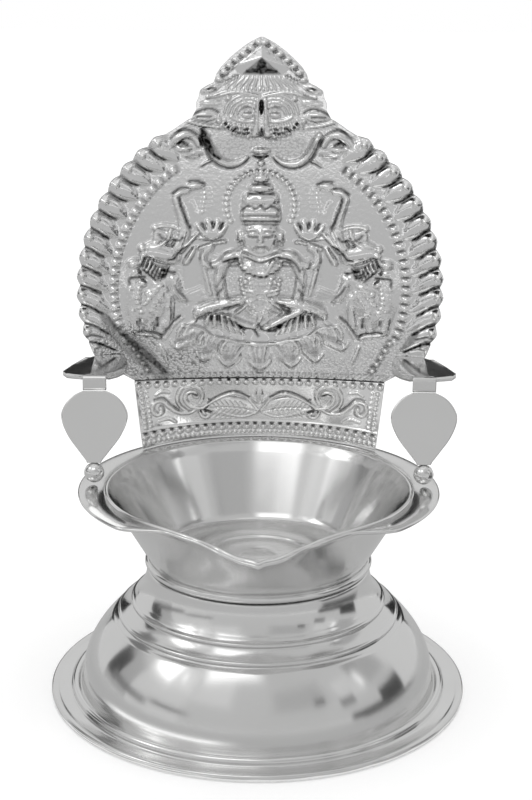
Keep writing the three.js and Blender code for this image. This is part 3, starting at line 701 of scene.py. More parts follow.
def guardian(relief):
    """The animal face under the crest, with ringed eyes, a slit nose and rows of beads below."""
    for size in (4.6, 3.75, 2.9, 2.1):
        arc_points = [[2.6 + size * math.cos(a), 105.2 + size * 0.82 * math.sin(a)]
                      for a in np.radians(np.linspace(5, 150, 8))]
        relief.strand(arc_points, [0.2, 0.34, 0.2], 0.5)
    relief.blob(2.7, 105.1, 1.15, 0.62, 0.8)
    relief.groove([[2, 105.55], [3.3, 105.6]], 0.18, 0.3, darkening=0.6)
    relief.groove([[2.6, 106.8], [3.9, 106.7]], 0.15, 0.2, darkening=0.5)
    relief.blob(6.4, 108.3, 0.62, 0.5, 1.0)
    relief.blob(4.7, 107.6, 1.1, 0.34, 0.7, turn=-22)
    relief.strand([[0.8, 104.2], [2.4, 103.8], [4.6, 104.1], [6, 104.8]], [0.2, 0.35, 0.25], 0.5)
    relief.strand([[0.75, 108], [0.85, 105.8], [0.9, 103.6], [1.15, 101.8]], [0.4, 0.45, 0.5, 0.8],
                  [0.8, 1.0, 1.2, 1.5])
    relief.blob(1.3, 101.4, 0.95, 0.6, 1.5)
    relief.strand([[0, 105.6], [0, 104], [0, 102.4]], 0.6, 0.8, twin=False)
    relief.groove([[0, 107.5], [0, 105.5]], 0.34, 0.8, twin=False, darkening=1)
    relief.groove([[0, 105], [0, 102.8]], 0.14, 0.25, twin=False)
    relief.groove([[0.05, 102.5], [0.1, 101.1]], [0.18, 0.28], 0.5, twin=False, darkening=0.9)
    relief.groove([[-1, 101], [0.3, 100.8], [1.6, 100.4], [3, 100.3]], 0.17, 0.3, twin=False, darkening=0.6)
    rows = ([[8.3, 104], [6.4, 103.4], [4.3, 102.9], [2.2, 102.7]],
            [[7.8, 103.1], [5.9, 102.5], [4, 102], [2.4, 101.9]], [[5.4, 101.7], [3.9, 101.2], [2.6, 101]])
    for row in rows:
        relief.beads(row, 0.98, 0.46, 1.0)
    for x, z in ((6.4, 102.7), (5.4, 102), (4.4, 101.7), (3.4, 101.5), (2.5, 101.7), (7, 103.5), (3.1, 102.3),
                 (5, 102.5)):
        relief.groove([[x - 0.15, z], [x + 0.15, z]], 0.24, 0.2, darkening=1)
    relief.punched(0, 10, 100, 109, 0.2)
    relief.leaf([8.4, 104.9], [13.2, 104.7], 0.95, 0.6)
    relief.groove([[8.3, 105.5], [9.2, 106.1], [10.6, 106.2], [12, 105.8], [13.4, 105]], 0.2, 0.25, darkening=0.75)
    relief.groove([[9.8, 104.7], [12.4, 104.7]], 0.2, 0.3, darkening=0.75)
    relief.strand([[7.8, 102.5], [9.3, 102.9], [11.5, 103.2], [14, 103.9]], [0.25, 0.4, 0.3], 0.6)
    relief.groove([[9.2, 103.3], [11, 103.6], [13.3, 104.2]], 0.16, 0.2, darkening=0.5)


def swags(relief):
    """Two hanging scrolls from the crest to the arch, with beads in the field between them."""
    relief.strand([[2.8, 96.9], [4.1, 96], [5.6, 95.7], [7.2, 95.9], [8.6, 96.8], [9.6, 98.2], [10.4, 99.8],
                   [11.3, 101.3]], [0.35, 0.6, 0.75, 0.8, 0.8, 0.75, 0.6], [0.9, 1.3, 1.5, 1.5, 1.5, 1.3])
    relief.strand([[12.1, 99.4], [12.8, 100.8], [14.4, 101.5], [16.2, 100.9], [17.5, 99.5]],
                  [0.6, 0.8, 0.9, 0.9, 0.7], [1.1, 1.4, 1.5, 1.4, 0.8])
    relief.blob(14.9, 98.6, 1.7, 0.8, 0.9, soft=True)
    relief.strand([[12.2, 97.2], [13.6, 97], [15, 97.5]], [0.25, 0.45, 0.2], 0.6, soft=True)
    relief.groove([[2.3, 96.8], [3, 96.1], [4, 95.3], [5, 94.9], [6.5, 94.8], [8, 95.2], [9.2, 95.9],
                   [10, 96.8], [10.7, 98], [11.3, 99.4], [12, 100.6], [13, 101.7], [14.5, 102.4], [16, 102],
                   [17.2, 101]], 0.22, 0.3, darkening=0.8)
    relief.groove([[16.4, 99.5], [15.5, 99.9], [14.3, 99.4]], [0.15, 0.34, 0.2], 0.4, darkening=1)
    relief.groove([[14.6, 96.8], [12.8, 97.4], [11.4, 97.5]], 0.16, 0.2, darkening=0.5)
    relief.strand([[9.6, 96.4], [10.6, 96], [11.8, 95.3]], [0.2, 0.3, 0.15], 0.5)
    relief.groove([[9.8, 96], [10.7, 95.7], [11.6, 95.1]], 0.18, 0.2, darkening=0.7)
    # Painted shade along the scrolls' outer sides, heavier on the left one.
    relief.shade_and_tarnish_line([[-11.5, 102.2], [-10.9, 100.6], [-10.1, 98.9], [-9.2, 97.6], [-8, 96.7]],
                 [0.6, 0.95, 0.8, 0.5, 0.3], 1, twin=False)
    relief.shade_and_tarnish_line([[10.6, 101.2], [9.9, 99.4], [9, 97.9], [7.6, 96.9]], [0.3, 0.4, 0.3, 0.2], 0.5, twin=False)
    relief.punched(0, 9, 96.5, 101, 0.55)
    relief.blob(0, 98.2, 1.9, 0.6, 1.1, twin=False)
    relief.groove([[-1.5, 97.15], [0, 96.8], [1.4, 97.2]], [0.12, 0.38, 0.12], 0.5, twin=False, darkening=1)
    relief.blob(0, 95.8, 0.75, 0.6, 1.0, twin=False)


def goddess(relief):
    halo = [[6.7 * math.cos(a), 87.4 + 6.7 * math.sin(a)] for a in np.radians(np.linspace(-28, 88, 12))]
    relief.beads(halo, 1.12, 0.42, 0.75)
    # Painted shade just outside the halo's beads, growing darker towards its top.
    for a in np.radians(np.arange(-22, 88, 9.6)):
        x, z = 7.15 * math.cos(a), 87.4 + 7.15 * math.sin(a)
        relief.groove([[x - 0.15, z], [x + 0.15, z]], 0.2, 0.1, darkening=0.85 * math.sin(max(a, 0)) ** 0.5)
    # Tiered crown
    relief.strand([[0, 93.4], [0, 94.5]], [0.35, 0.2], 0.8, twin=False)
    relief.blob(0, 92.8, 1.6, 0.9, 1.3, twin=False)
    relief.blob(0, 90.9, 2.4, 1.1, 1.6, twin=False)
    relief.blob(0, 88.7, 3.6, 1.8, 1.9, twin=False, power=2.4)
    relief.blob(0, 85.8, 4.0, 2.7, 2.0, twin=False, power=3.2)
    for height, half, darkening in ((91.75, 1.7, 0.85), (89.95, 2.5, 0.9), (85.6, 3.6, 0.6), (84.55, 3.4, 0.8)):
        relief.groove([[-half, height - 0.1], [0, height + 0.05], [half, height - 0.1]], 0.18, 0.35,
                      twin=False, darkening=darkening)
    relief.groove([[-3.8, 86.5], [-2.9, 87.4], [-2, 87.5], [-1, 86.9], [0, 87.7], [1, 86.9], [2, 87.6],
                   [2.9, 87.2], [3.8, 86.5]], 0.17, 0.35, twin=False, darkening=0.8)
    relief.beads([[-3.2, 85.1], [0, 85.2], [3.2, 85.1]], 0.8, 0.24, 0.3, lift=1.85, twin=False)
    relief.blob(0, 88.6, 0.7, 0.8, 0.35, lift=1.8, twin=False)
    relief.blob(-2.1, 88.5, 0.9, 0.8, 0.2, lift=1.7, twin=False, soft=True)
    # Head
    relief.blob(0, 81.2, 3.7, 3.7, 2.1, twin=False, power=2.3)
    relief.groove([[-3.4, 83.6], [0, 84], [3.4, 83.6]], 0.2, 0.35, twin=False, darkening=0.5)
    relief.strand([[0.75, 82.75], [1.6, 83], [2.5, 82.7]], 0.17, 0.3, lift=1.85)
    relief.blob(1.55, 82, 0.72, 0.34, 0.35, lift=1.85)
    relief.groove([[0.8, 81.5], [1.6, 81.35], [2.4, 81.6]], 0.16, 0.25, darkening=0.7)
    relief.groove([[0.7, 82.45], [1.6, 82.6], [2.6, 82.3]], 0.14, 0.15, darkening=0.4)
    relief.groove([[0.45, 81.5], [0.55, 80.6]], 0.14, 0.2, darkening=0.45)
    relief.groove([[-0.8, 79.55], [0, 79.5], [0.8, 79.55]], 0.14, 0.2, twin=False, darkening=0.7)
    relief.strand([[0, 82.6], [0, 81.4], [0, 80.55]], [0.22, 0.3, 0.45], [0.3, 0.55, 0.7], lift=2.0,
                  twin=False)
    relief.blob(0, 79.75, 0.78, 0.2, 0.35, lift=2.0, twin=False)
    relief.blob(0, 79.35, 0.55, 0.2, 0.3, lift=1.95, twin=False)
    relief.blob(0, 78.6, 0.7, 0.42, 0.25, lift=1.7, twin=False)
    relief.blob(4.0, 81.4, 0.5, 1.05, 1.2)
    relief.beads([[4.5, 80.4], [4.2, 79.7]], 0.7, 0.3, 1.1, darkening=0.7)
    # Body, garland and necklaces
    relief.strand([[0, 77.6], [0, 74.6], [0, 71.6], [0, 68.6]], [4.6, 4.3, 3.4, 4.4], [0.9, 1.3, 1.2, 1.0],
                  twin=False, soft=True)
    relief.blob(1.95, 75.1, 1.8, 1.7, 0.9, lift=0.7, soft=True)
    for drop, size, darkening in ((77.6, 0.28, 0.2), (76.55, 0.24, 0.75)):
        relief.strand([[-3.4, drop + 1.2], [0, drop], [3.4, drop + 1.2]], size, 0.45, lift=1.0, twin=False)
        relief.groove([[-2.6, drop + 0.45], [0, drop - 0.35], [2.6, drop + 0.45]], 0.16, 0.2, twin=False,
                      darkening=darkening)
    relief.beads([[4.2, 77.6], [4.1, 76.2], [3.3, 75], [2.2, 74.3], [0.4, 73.9]], 0.95, 0.46, 0.8, lift=0.9)
    for x, z in ((1.2, 73.4), (0.2, 73.2), (2.3, 73.9), (3.3, 74.6)):
        relief.groove([[x - 0.25, z], [x + 0.25, z]], 0.26, 0.3, darkening=0.9)
    relief.strand([[2.6, 76.6], [1.6, 75], [0.7, 73.4]], [0.3, 0.4, 0.3], 0.8, lift=1.2, twin=False)
    relief.strand([[-3.1, 70.6], [0, 70], [3.1, 70.6]], 0.35, 0.4, lift=0.9, twin=False)
    relief.beads([[-2.8, 69.7], [0, 69.2], [2.8, 69.7]], 0.8, 0.3, 0.4, lift=0.9, twin=False)
    relief.beads([[-3, 72], [0, 71.6], [3, 72]], 0.95, 0.3, 0.35, lift=1, twin=False)
    relief.beads([[3.9, 72.6], [3.4, 70.2], [2.3, 67.8], [0.4, 66.6]], 0.95, 0.36, 0.6, lift=0.8)
    relief.beads([[2.2, 72.8], [1.6, 70.6], [0.3, 69]], 0.95, 0.3, 0.5, lift=1)
    # Shoulders and front arms
    relief.strand([[4.2, 77.6], [6.2, 77.2], [7.4, 75.8], [8, 73.8]], [1.1, 1.3, 1.2, 1.0],
                  [1.2, 1.5, 1.4, 1.2])
    relief.groove([[3.6, 77.2], [5, 77], [6.5, 76.5], [7.3, 75.5], [7.9, 74.4]], 0.24, 0.3, twin=False,
                  darkening=0.9)
    relief.groove([[-4.6, 76.9], [-6, 76.8], [-7.3, 76.4]], [0.4, 0.3, 0.2], 0.4, twin=False, darkening=1)
    for height in (76.3, 75.4):
        relief.groove([[4.4, height], [6.3, height - 0.1]], 0.17, 0.25, darkening=0.6)
    relief.groove([[4, 78.8], [5.6, 78.5], [7.2, 77.6], [7.9, 76.6]], 0.17, 0.2, darkening=0.4)
    relief.strand([[8.1, 73.8], [8, 71.5], [7.5, 69.4], [7.2, 67.8]], [1.05, 1.1, 1.0, 1.0],
                  [1.2, 1.3, 1.2, 1.3])
    relief.groove([[7.3, 73.2], [8, 72.4], [8.7, 71.2]], 0.17, 0.25, darkening=0.55)
    relief.groove([[7.6, 70.8], [8.2, 70.2], [8.7, 69.3]], 0.19, 0.25, darkening=0.75)
    for k in range(4):
        relief.strand([[6.2 + 0.62 * k, 68.6], [6.1 + 0.65 * k, 67]], 0.26, 0.3, lift=1.2)
    # Rear arms, each holding a lotus
    relief.strand([[7.4, 76.6], [9, 75.6], [10.6, 75.5], [11.4, 76.6], [11.1, 78.2], [10, 79.2]],
                  [0.9, 0.85, 0.9, 0.85, 0.85, 1.0], [0.9, 1.0, 1.1, 1.1, 1.1, 1.2], soft=True)
    relief.groove([[10, 76.4], [9.9, 75.7], [9.5, 75]], 0.22, 0.3, darkening=0.8)
    relief.strand([[11.6, 77.4], [11.1, 74.4], [10.4, 71.6], [9.9, 69.6]], [0.3, 0.5, 0.5, 0.3], 0.7,
                  soft=True)
    relief.beads([[12, 79], [9.6, 79.9], [7.2, 80.3]], 0.9, 0.4, 0.9, lift=0.3, darkening=0.6)
    for tip_x, tip_z in ((12.4, 83.5), (10.4, 84.3), (8.5, 84.3), (6.8, 83.5)):
        middle = [mix(9.5, tip_x, 0.62), mix(80.9, tip_z, 0.5)]
        relief.strand([[9.5, 80.8], middle, [tip_x, tip_z]], [0.4, 0.75, 0.3], [0.8, 1.2, 0.8])
    for line in ([[11.6, 83.9], [11.1, 82.9]], [[9.5, 84.1], [9.45, 83.1]], [[7.5, 83.9], [8, 82.8]]):
        relief.groove(line, [0.3, 0.2], 0.3, darkening=1)
    relief.strand([[13.4, 81.1], [11.9, 81], [10, 80.7]], [0.16, 0.3, 0.25], 0.5)


def lap(relief):
    """Crossed legs under a pleated skirt, on the lotus seat."""
    relief.strand([[3.8, 68.2], [7, 67.7], [10, 67.1], [12.2, 66.2]], [0.8, 1.0, 1.1, 1.1],
                  [1.5, 1.8, 1.8, 1.4])
    relief.groove([[4, 69.3], [7.5, 68.8], [10, 68.3], [12.7, 67.5]], 0.18, 0.15, darkening=0.45)
    for x, z, size in ((11.8, 66.3, 0.5), (10.9, 66.6, 0.42), (9.8, 66.5, 0.4)):
        relief.blob(x, z, size, 0.75, 1.9)
    pleats = ((10.4, 65.3, 10.9, 63.2), (9.1, 65.4, 9.2, 62.9), (7.7, 65.4, 7.4, 62.5),
              (6.6, 65.1, 5.9, 62.1), (5.6, 64.5, 4.6, 61.8), (4.6, 63.9, 3.4, 61.5))
    for x0, z0, x1, z1 in pleats:
        relief.strand([[x0, z0], [x1, z1]], [0.5, 0.6, 0.35], [1.3, 1.0, 0.4])
    for x0, z0, x1, z1 in ((9.6, 65.3, 9.9, 64.3), (8.2, 65.3, 8.1, 64.1), (7.1, 65.2, 6.6, 63.8),
                           (6.1, 64.9, 5.3, 63.2), (5, 64.3, 3.9, 62.6), (4.1, 63.5, 3, 62.5)):
        relief.groove([[x0, z0], [x1, z1]], [0.2, 0.27], 0.4, darkening=1)
    relief.groove([[10, 66.2], [11.3, 64.9], [12.7, 64.6]], 0.18, 0.3, darkening=0.7)
    relief.strand([[12.4, 66.8], [13.1, 65.8], [12.9, 64.8]], 0.35, [1.1, 1.1, 0.8])
    relief.strand([[13.2, 64.1], [14.2, 63.4], [15.4, 63.3]], [0.4, 0.3, 0.2], 0.6)
    relief.strand([[7.9, 66.5], [5.3, 65.2], [2.3, 63.5]], [0.9, 0.95, 0.7], [2.2, 2.3, 2.0], twin=False)
    relief.strand([[-6.4, 65], [-4, 63.8], [-1.2, 62.9]], [0.7, 0.65, 0.6], [1.3, 1.4, 1.3], twin=False)
    relief.blob(1.3, 62.9, 1.3, 0.55, 1.7, turn=22, twin=False)
    relief.groove([[-2.7, 62.6], [-1.7, 62.6], [-1, 62], [-0.3, 61]], 0.22, 0.3, twin=False, darkening=0.95)
    relief.groove([[-0.3, 63.3], [0.6, 62.4], [1.4, 62.1], [3.2, 62.15]], 0.22, 0.3, twin=False, darkening=0.95)
    for line, darkening in (([[3, 68], [5, 67.6]], 0.8), ([[3, 67], [4.6, 66.6], [6, 66.1]], 0.7),
                      ([[2.3, 66.1], [4.2, 65.4]], 0.5), ([[-4.2, 67.8], [-5.7, 67.3], [-7.2, 67.1]], 0.9),
                      ([[1.8, 69], [3.2, 69.3]], 0.5), ([[-6.3, 66.9], [-6.5, 66.3]], 0.7)):
        relief.groove(line, 0.17, 0.2, twin=False, darkening=darkening)
    for k in range(5):
        relief.strand([[1 + 0.75 * k, 68.9 - 0.5 * k], [2.4 + 0.7 * k, 68.4 - 0.65 * k]], 0.2, 0.3, lift=1.0,
                      twin=False)
        relief.strand([[-1.2 - 0.6 * k, 68.7 - 0.5 * k], [-2.4 - 0.6 * k, 67.8 - 0.5 * k]], 0.2, 0.3,
                      lift=0.9, twin=False)
    relief.strand([[0, 68.4], [0.1, 66], [-0.2, 64]], [0.6, 0.5, 0.3], 1.2, twin=False)


def lotus_seat(relief):
    """A wide lotus in low relief: the seat's rim, and a row of veined petals that hang from it."""
    petals = (((0, 59.4), (0, 54.2), 2.8), ((4.9, 59.6), (6.4, 54.9), 2.3), ((8.9, 60.7), (11.2, 56), 2.0),
              ((12.6, 62.4), (16.4, 58.6), 1.8))
    for base, tip, width in petals:
        twin = base[0] > 0
        relief.strand([base, mix(np.array(base), np.array(tip), 0.5), tip], [width * 0.8, width, width * 0.4],
                      [0.5, 0.9, 0.6], twin=twin, soft=True)
        for share in (-0.6, -0.2, 0.2, 0.6):
            top = [base[0] + share * width, base[1] - 0.7]
            low = [tip[0] + share * width * 0.5, tip[1] + 1.2]
            relief.groove([top, low], 0.2, 0.35, twin=twin, darkening=0.3)
        rim = [[tip[0] - width * 0.75, tip[1] + 1.6], [tip[0] - width * 0.45, tip[1] + 0.5], [tip[0], tip[1]],
               [tip[0] + width * 0.45, tip[1] + 0.5], [tip[0] + width * 0.75, tip[1] + 1.6]]
        relief.strand(rim, 0.22, 0.35, lift=0.25, twin=twin)
        relief.groove([[x, z - 0.25] for x, z in rim[1:4]], 0.15, 0.1, twin=twin, darkening=0.5)
    relief.strand([[15, 63.2], [13, 63], [11.5, 62.5], [10.2, 61.4], [8.3, 60.6], [6, 60.2], [4.4, 59.7],
                   [2, 59.4], [0, 59.3]], [0.25, 0.32, 0.32, 0.28], 0.7)
    relief.groove([[15, 63.5], [13, 63.35], [11.4, 62.8], [10.2, 61.8], [8.3, 61], [6, 60.6], [4.4, 60.1],
                   [2, 59.8], [0, 59.7]], 0.15, 0.1, darkening=0.5)
    for k in range(9):
        x, z = 6.6 + 1.1 * k, 60.1 + 0.42 * k
        relief.strand([[x, z], [x + 0.9, z - 1.2], [x + 1.1, z - 2.6]], [0.2, 0.28, 0.15], 0.45, lift=0.4)
    relief.groove([[16, 65.3], [17.5, 64], [18.8, 62.4], [19.8, 60.9]], 0.19, 0.3, darkening=0.85)
    relief.strand([[15.6, 65], [17, 63.8], [18.3, 62.2], [19.3, 60.7]], 0.25, 0.5, soft=True)
    for x, z in ((6.5, 58.7), (7.6, 58.6), (8.7, 59.1), (10.9, 60.8)):
        relief.strand([[x, z + 0.5], [x + 0.15, z - 0.5]], 0.2, 0.4, lift=0.5)
    relief.strand([[19.9, 59.4], [19.2, 57.5], [18.5, 55.7]], [0.3, 0.4, 0.25], 0.6)


def elephant(relief):
    """Each elephant turns to the middle, with its trunk up and a tilted pot in it."""
    relief.strand([[24.9, 75.4], [25.3, 72.4], [25, 69.2], [24.5, 66]], [1.6, 2.3, 2.7, 2.3],
                  [0.7, 0.9, 1.0, 0.8], soft=True)
    relief.strand([[19.4, 73.4], [20.4, 70.6], [21.5, 67.6], [22.4, 65.4]], [2.6, 3.2, 3.2, 2.4],
                  [0.8, 1.1, 1.1, 0.8], soft=True)
    relief.strand([[17.3, 72.8], [16.5, 70.5], [15.6, 69]], [1.4, 1.3, 1.0], [1.0, 1.0, 0.7], soft=True)
    relief.strand([[18.2, 69.4], [18.2, 66.2], [18.5, 63.6]], [1.3, 1.1, 1.2], [1.0, 0.9, 0.8], soft=True)
    relief.strand([[21.9, 66.6], [21.9, 64.6], [22, 62.8]], [1.1, 1.0, 1.1], 0.75, soft=True)
    relief.strand([[25.2, 66.4], [25, 64.4], [24.7, 62.8]], [1.3, 1.15, 1.2], 0.8, soft=True)
    for x, z, size in ((24.6, 74.4, 0.8), (23.2, 72.2, 0.7), (25.6, 71.4, 0.6), (22.2, 70.2, 0.7),
                       (24.4, 69.6, 0.6), (19.8, 69.6, 0.6), (21.2, 66.9, 0.6), (25, 67.4, 0.6),
                       (18.4, 67.4, 0.5), (20.6, 71.9, 0.6)):
        relief.blob(x, z, size, size * 0.8, 0.35, turn=30, lift=0.8)
    relief.groove([[20.5, 65.1], [20.6, 63.3]], 0.28, 0.4, darkening=1)
    relief.groove([[24, 65.1], [23.9, 63.9]], [0.16, 0.26], 0.4, darkening=0.85)
    relief.groove([[16.9, 71.6], [16.1, 70.2], [15, 69.2]], 0.2, 0.3, darkening=0.75)
    relief.groove([[14.8, 68.9], [14.7, 67.6]], 0.2, 0.2, darkening=0.4)
    relief.strand([[19.8, 60.9], [21.4, 61.6], [24.2, 61.9]], [0.2, 0.36, 0.2], 0.8)
    relief.groove([[19.6, 61.4], [21.4, 62.2], [24.4, 62.5]], 0.18, 0.3, darkening=0.85)
    # Saddle cloth and harness
    relief.groove([[22.8, 73.4], [25.7, 73.4], [25.8, 72]], 0.2, 0.3, darkening=0.85)
    relief.strand([[20.2, 72.9], [21.4, 74.1], [22.9, 75.4]], 0.3, 0.6, lift=1.0)
    relief.groove([[20.8, 72.8], [21.9, 73.8], [23.1, 74.9]], 0.2, 0.3, darkening=0.8)
    relief.beads([[23.9, 71.4], [24.2, 69], [23.6, 66.6]], 0.95, 0.32, 0.35, lift=1.1)
    relief.beads([[18.9, 70.6], [20.4, 68.6], [21.6, 66.8]], 0.95, 0.3, 0.35, lift=1.1)
    for k in range(4):
        relief.strand([[19.6 + 0.7 * k, 71.8 - 0.9 * k], [21.4 + 0.55 * k, 70.8 - 0.9 * k]], 0.18, 0.25,
                      lift=1.2)
    relief.strand([[24.3, 77.2], [25.8, 76.8], [26.7, 75.2], [27.1, 73], [27, 70.4]], 0.2, 0.4)
    relief.punched(15, 27, 62, 77, 0.15)
    # Head
    relief.blob(19.4, 78.2, 3.7, 2.0, 2.0, turn=20, power=2.4)
    relief.blob(23.2, 79.3, 0.75, 0.7, 1.9)
    relief.blob(22.9, 78.1, 0.85, 0.75, 1.9)
    relief.blob(24.8, 76.2, 1.3, 1.0, 1.6)
    for k in range(8):
        x = mix(22.9, 18.4, k / 7)
        z = 77.4 - 2.4 * math.sin(math.pi * 0.62 * k / 7) - 0.2 * k / 7
        relief.strand([[x + 0.1, z + 0.3], [x + 0.9, z - 1.7]], [0.26, 0.32, 0.2], [1.5, 1.4, 0.8])
        relief.groove([[x - 0.2, z + 0.2], [x + 0.6, z - 1.7]], [0.15, 0.2, 0.15], 0.4, darkening=1)
    relief.groove([[17.9, 74.3], [16.9, 74.1]], 0.26, 0.3, darkening=0.9)
    relief.groove([[14, 79.8], [15.4, 79.2], [16.4, 78], [17.2, 77.1], [18.1, 77]], 0.24, 0.4, darkening=1)
    # Mouth, tusks and the fan of the near ear
    relief.strand([[13.1, 79], [13.9, 77.6], [14.8, 76.2]], [0.3, 0.5, 0.55], [1.1, 1.6, 1.6])
    relief.strand([[12.5, 82], [14.2, 80.2], [15.8, 78.5]], [0.25, 0.4, 0.45], [1.2, 1.8, 2.2])
    relief.blob(18.2, 81.9, 2.9, 1.6, 1.1, soft=True)
    relief.strand([[20.9, 83.3], [19, 83.6], [17, 83.3], [15.7, 82.5], [15.2, 81.6], [16, 80.9]], [0.3, 0.22],
                  1.1)
    for k in range(5):
        end = [mix(20.6, 20.9, k / 4), mix(83, 80.6, k / 4)]
        relief.strand([[16.4, 81.3], end], [0.2, 0.32], [0.9, 1.2])
    relief.blob(20.7, 83.2, 0.5, 0.45, 1.3)
    relief.strand([[17.7, 82.8], [18, 81.6], [18.8, 80.5], [20.4, 79.7]], [0.22, 0.32, 0.28], 0.8, lift=1.1)
    relief.groove([[20, 82], [19.2, 81.1], [18.5, 81]], 0.2, 0.3, darkening=0.75)
    relief.groove([[15.3, 81.4], [16, 80.75], [17.3, 80.8]], 0.22, 0.3, darkening=0.9)
    # Trunk, with the pot at its end
    relief.strand([[16.2, 79.4], [15.3, 81.6], [15.1, 83.4], [15.7, 86], [16.4, 88], [16.7, 89.3],
                   [15.8, 90.1], [14.3, 90.3]], [1.4, 1.2, 1.15, 0.9, 0.8, 0.75, 0.6, 0.45],
                  [2.0, 1.6, 1.35, 1.2, 1.1, 1.1, 1.0, 0.8])
    relief.groove([[16, 89.1], [15.7, 87.6], [15, 85.6], [14.6, 84.4], [13.9, 83.1]], [0.16, 0.22, 0.24, 0.3],
                  0.35, darkening=0.95)
    for k in range(6):
        z = 82.6 + 1.05 * k
        x = float(np.interp(z, [81, 84, 86.6, 88.8], [15.3, 15.3, 16, 16.6]))
        relief.groove([[x - 0.2, z], [x + 0.9, z - 0.1]], 0.14, 0.2)
    relief.blob(12.9, 91.4, 2.0, 0.75, 1.1, turn=-8)
    relief.groove([[14.1, 92.2], [12.4, 92.3], [11, 91.8]], 0.2, 0.25, darkening=0.85)
    relief.groove([[17.3, 89.9], [15.8, 90.9], [14.2, 91]], 0.2, 0.25, darkening=0.8)
    relief.beads([[11.3, 90.8], [11, 89.2], [11.3, 87.6], [11.5, 86.2]], 0.95, 0.33, 0.5)
    relief.beads([[10.3, 90.6], [10.1, 89], [10.3, 87.2]], 0.9, 0.26, 0.4)
    relief.strand([[13.6, 88.2], [13.1, 87], [12.7, 85.6]], 0.18, 0.35)


def ground(relief):
    relief.punched(10, 20, 52, 57, 0.4)
    relief.punched(-20, -11, 53, 58.5, 1.0, twin=False)
    relief.punched(-12, 12, 52, 60, 0.15, twin=False)
    relief.punched(12, 20, 57, 61, 0.2)
    relief.punched(-12, 12, 63, 78, 0.22, twin=False)
    for k in range(7):
        relief.strand([[10.8 + 0.6 * k, 68.4], [12 + 0.6 * k, 71.2 - 0.2 * k]], 0.16, 0.22)
    relief.shade_and_tarnish_line([[11, 69.4], [14, 69.9]], [0.9, 1.1], 0.14, twin=False)
    relief.beads([[25, 53.2], [13, 53.05], [0.4, 53.05]], 1.25, 0.4, 0.45, darkening=0.7)


def blurred(field, passes):
    """The field with its detail smoothed away, edges kept."""
    out = field.copy()
    for _ in range(passes):
        padded = np.pad(out, 1, mode="edge")
        out = (padded[:-2, 1:-1] + padded[2:, 1:-1] + padded[1:-1, :-2] + padded[1:-1, 2:] + 4 * out) / 8
    return out


# Right edge of the crest, from its root to its tip.
CREST_X = [14.6, 13.6, 12.6, 12.7, 12.2, 11.9, 10.6, 9.3, 9.0, 8.7, 7.8, 6.1, 4.3, 2.3, 0.9, 0.35]
CREST_Z = [103.9, 104.4, 106.2, 107.4, 108.4, 109.8, 110.6, 111.2, 112.1, 113, 114.3, 116, 117.5, 118.9,
           119.6, 119.85]


def plate_half_width(z):
    """Half width of the plate at pattern heights z: the arch with its petal tips, then the crest."""
    angles = np.radians(np.linspace(ARCH_START_ANGLE, ARCH_END_ANGLE, 700))
    nearest = np.min(np.abs(np.degrees(angles)[:, None] - np.array(PETAL_ANGLES)[None, :]), axis=1)
    scallop = np.where(np.degrees(angles) > -17, 0.75 * np.clip(nearest / 3.1, 0, 1) ** 1.6, 0.5)
    radius = ARCH_RADIUS + 0.1 - scallop
    arch_x, arch_z = radius * np.cos(angles), ARCH_CENTRE + radius * np.sin(angles)
    keep = np.concatenate([[True], np.diff(np.maximum.accumulate(arch_z)) > 0])
    all_x = np.concatenate([[PLATE_FOOT_HALF_WIDTH], arch_x[keep], CREST_X])
    all_z = np.concatenate([[PATTERN_FOOT], arch_z[keep], CREST_Z])
    return np.interp(z, all_z, all_x)


def plate_y(x):
    """How far behind the axis the bent back plate lies."""
    return PLATE_SETBACK - (PLATE_BEND_RADIUS - np.sqrt(PLATE_BEND_RADIUS ** 2 - x ** 2))


# Smoothing passes: for the sheet's back, to find its hollows, and to find its crowns.
BACK_PASSES = 14
HOLLOW_PASSES = 3
CROWN_PASSES = 8
# The back has one column of points for so many of the front, and this share of the front's relief.
BACK_STEP = 4
BACK_SHARE = 0.7
# Hollows deeper than this are darkened, and crowns higher than this get the painted highlight, in
# millimetres.
HOLLOW_FROM = 0.04
CROWN_FROM = 0.03
# The sheet would tear if the die pressed it in further.
DEEPEST = 0.35


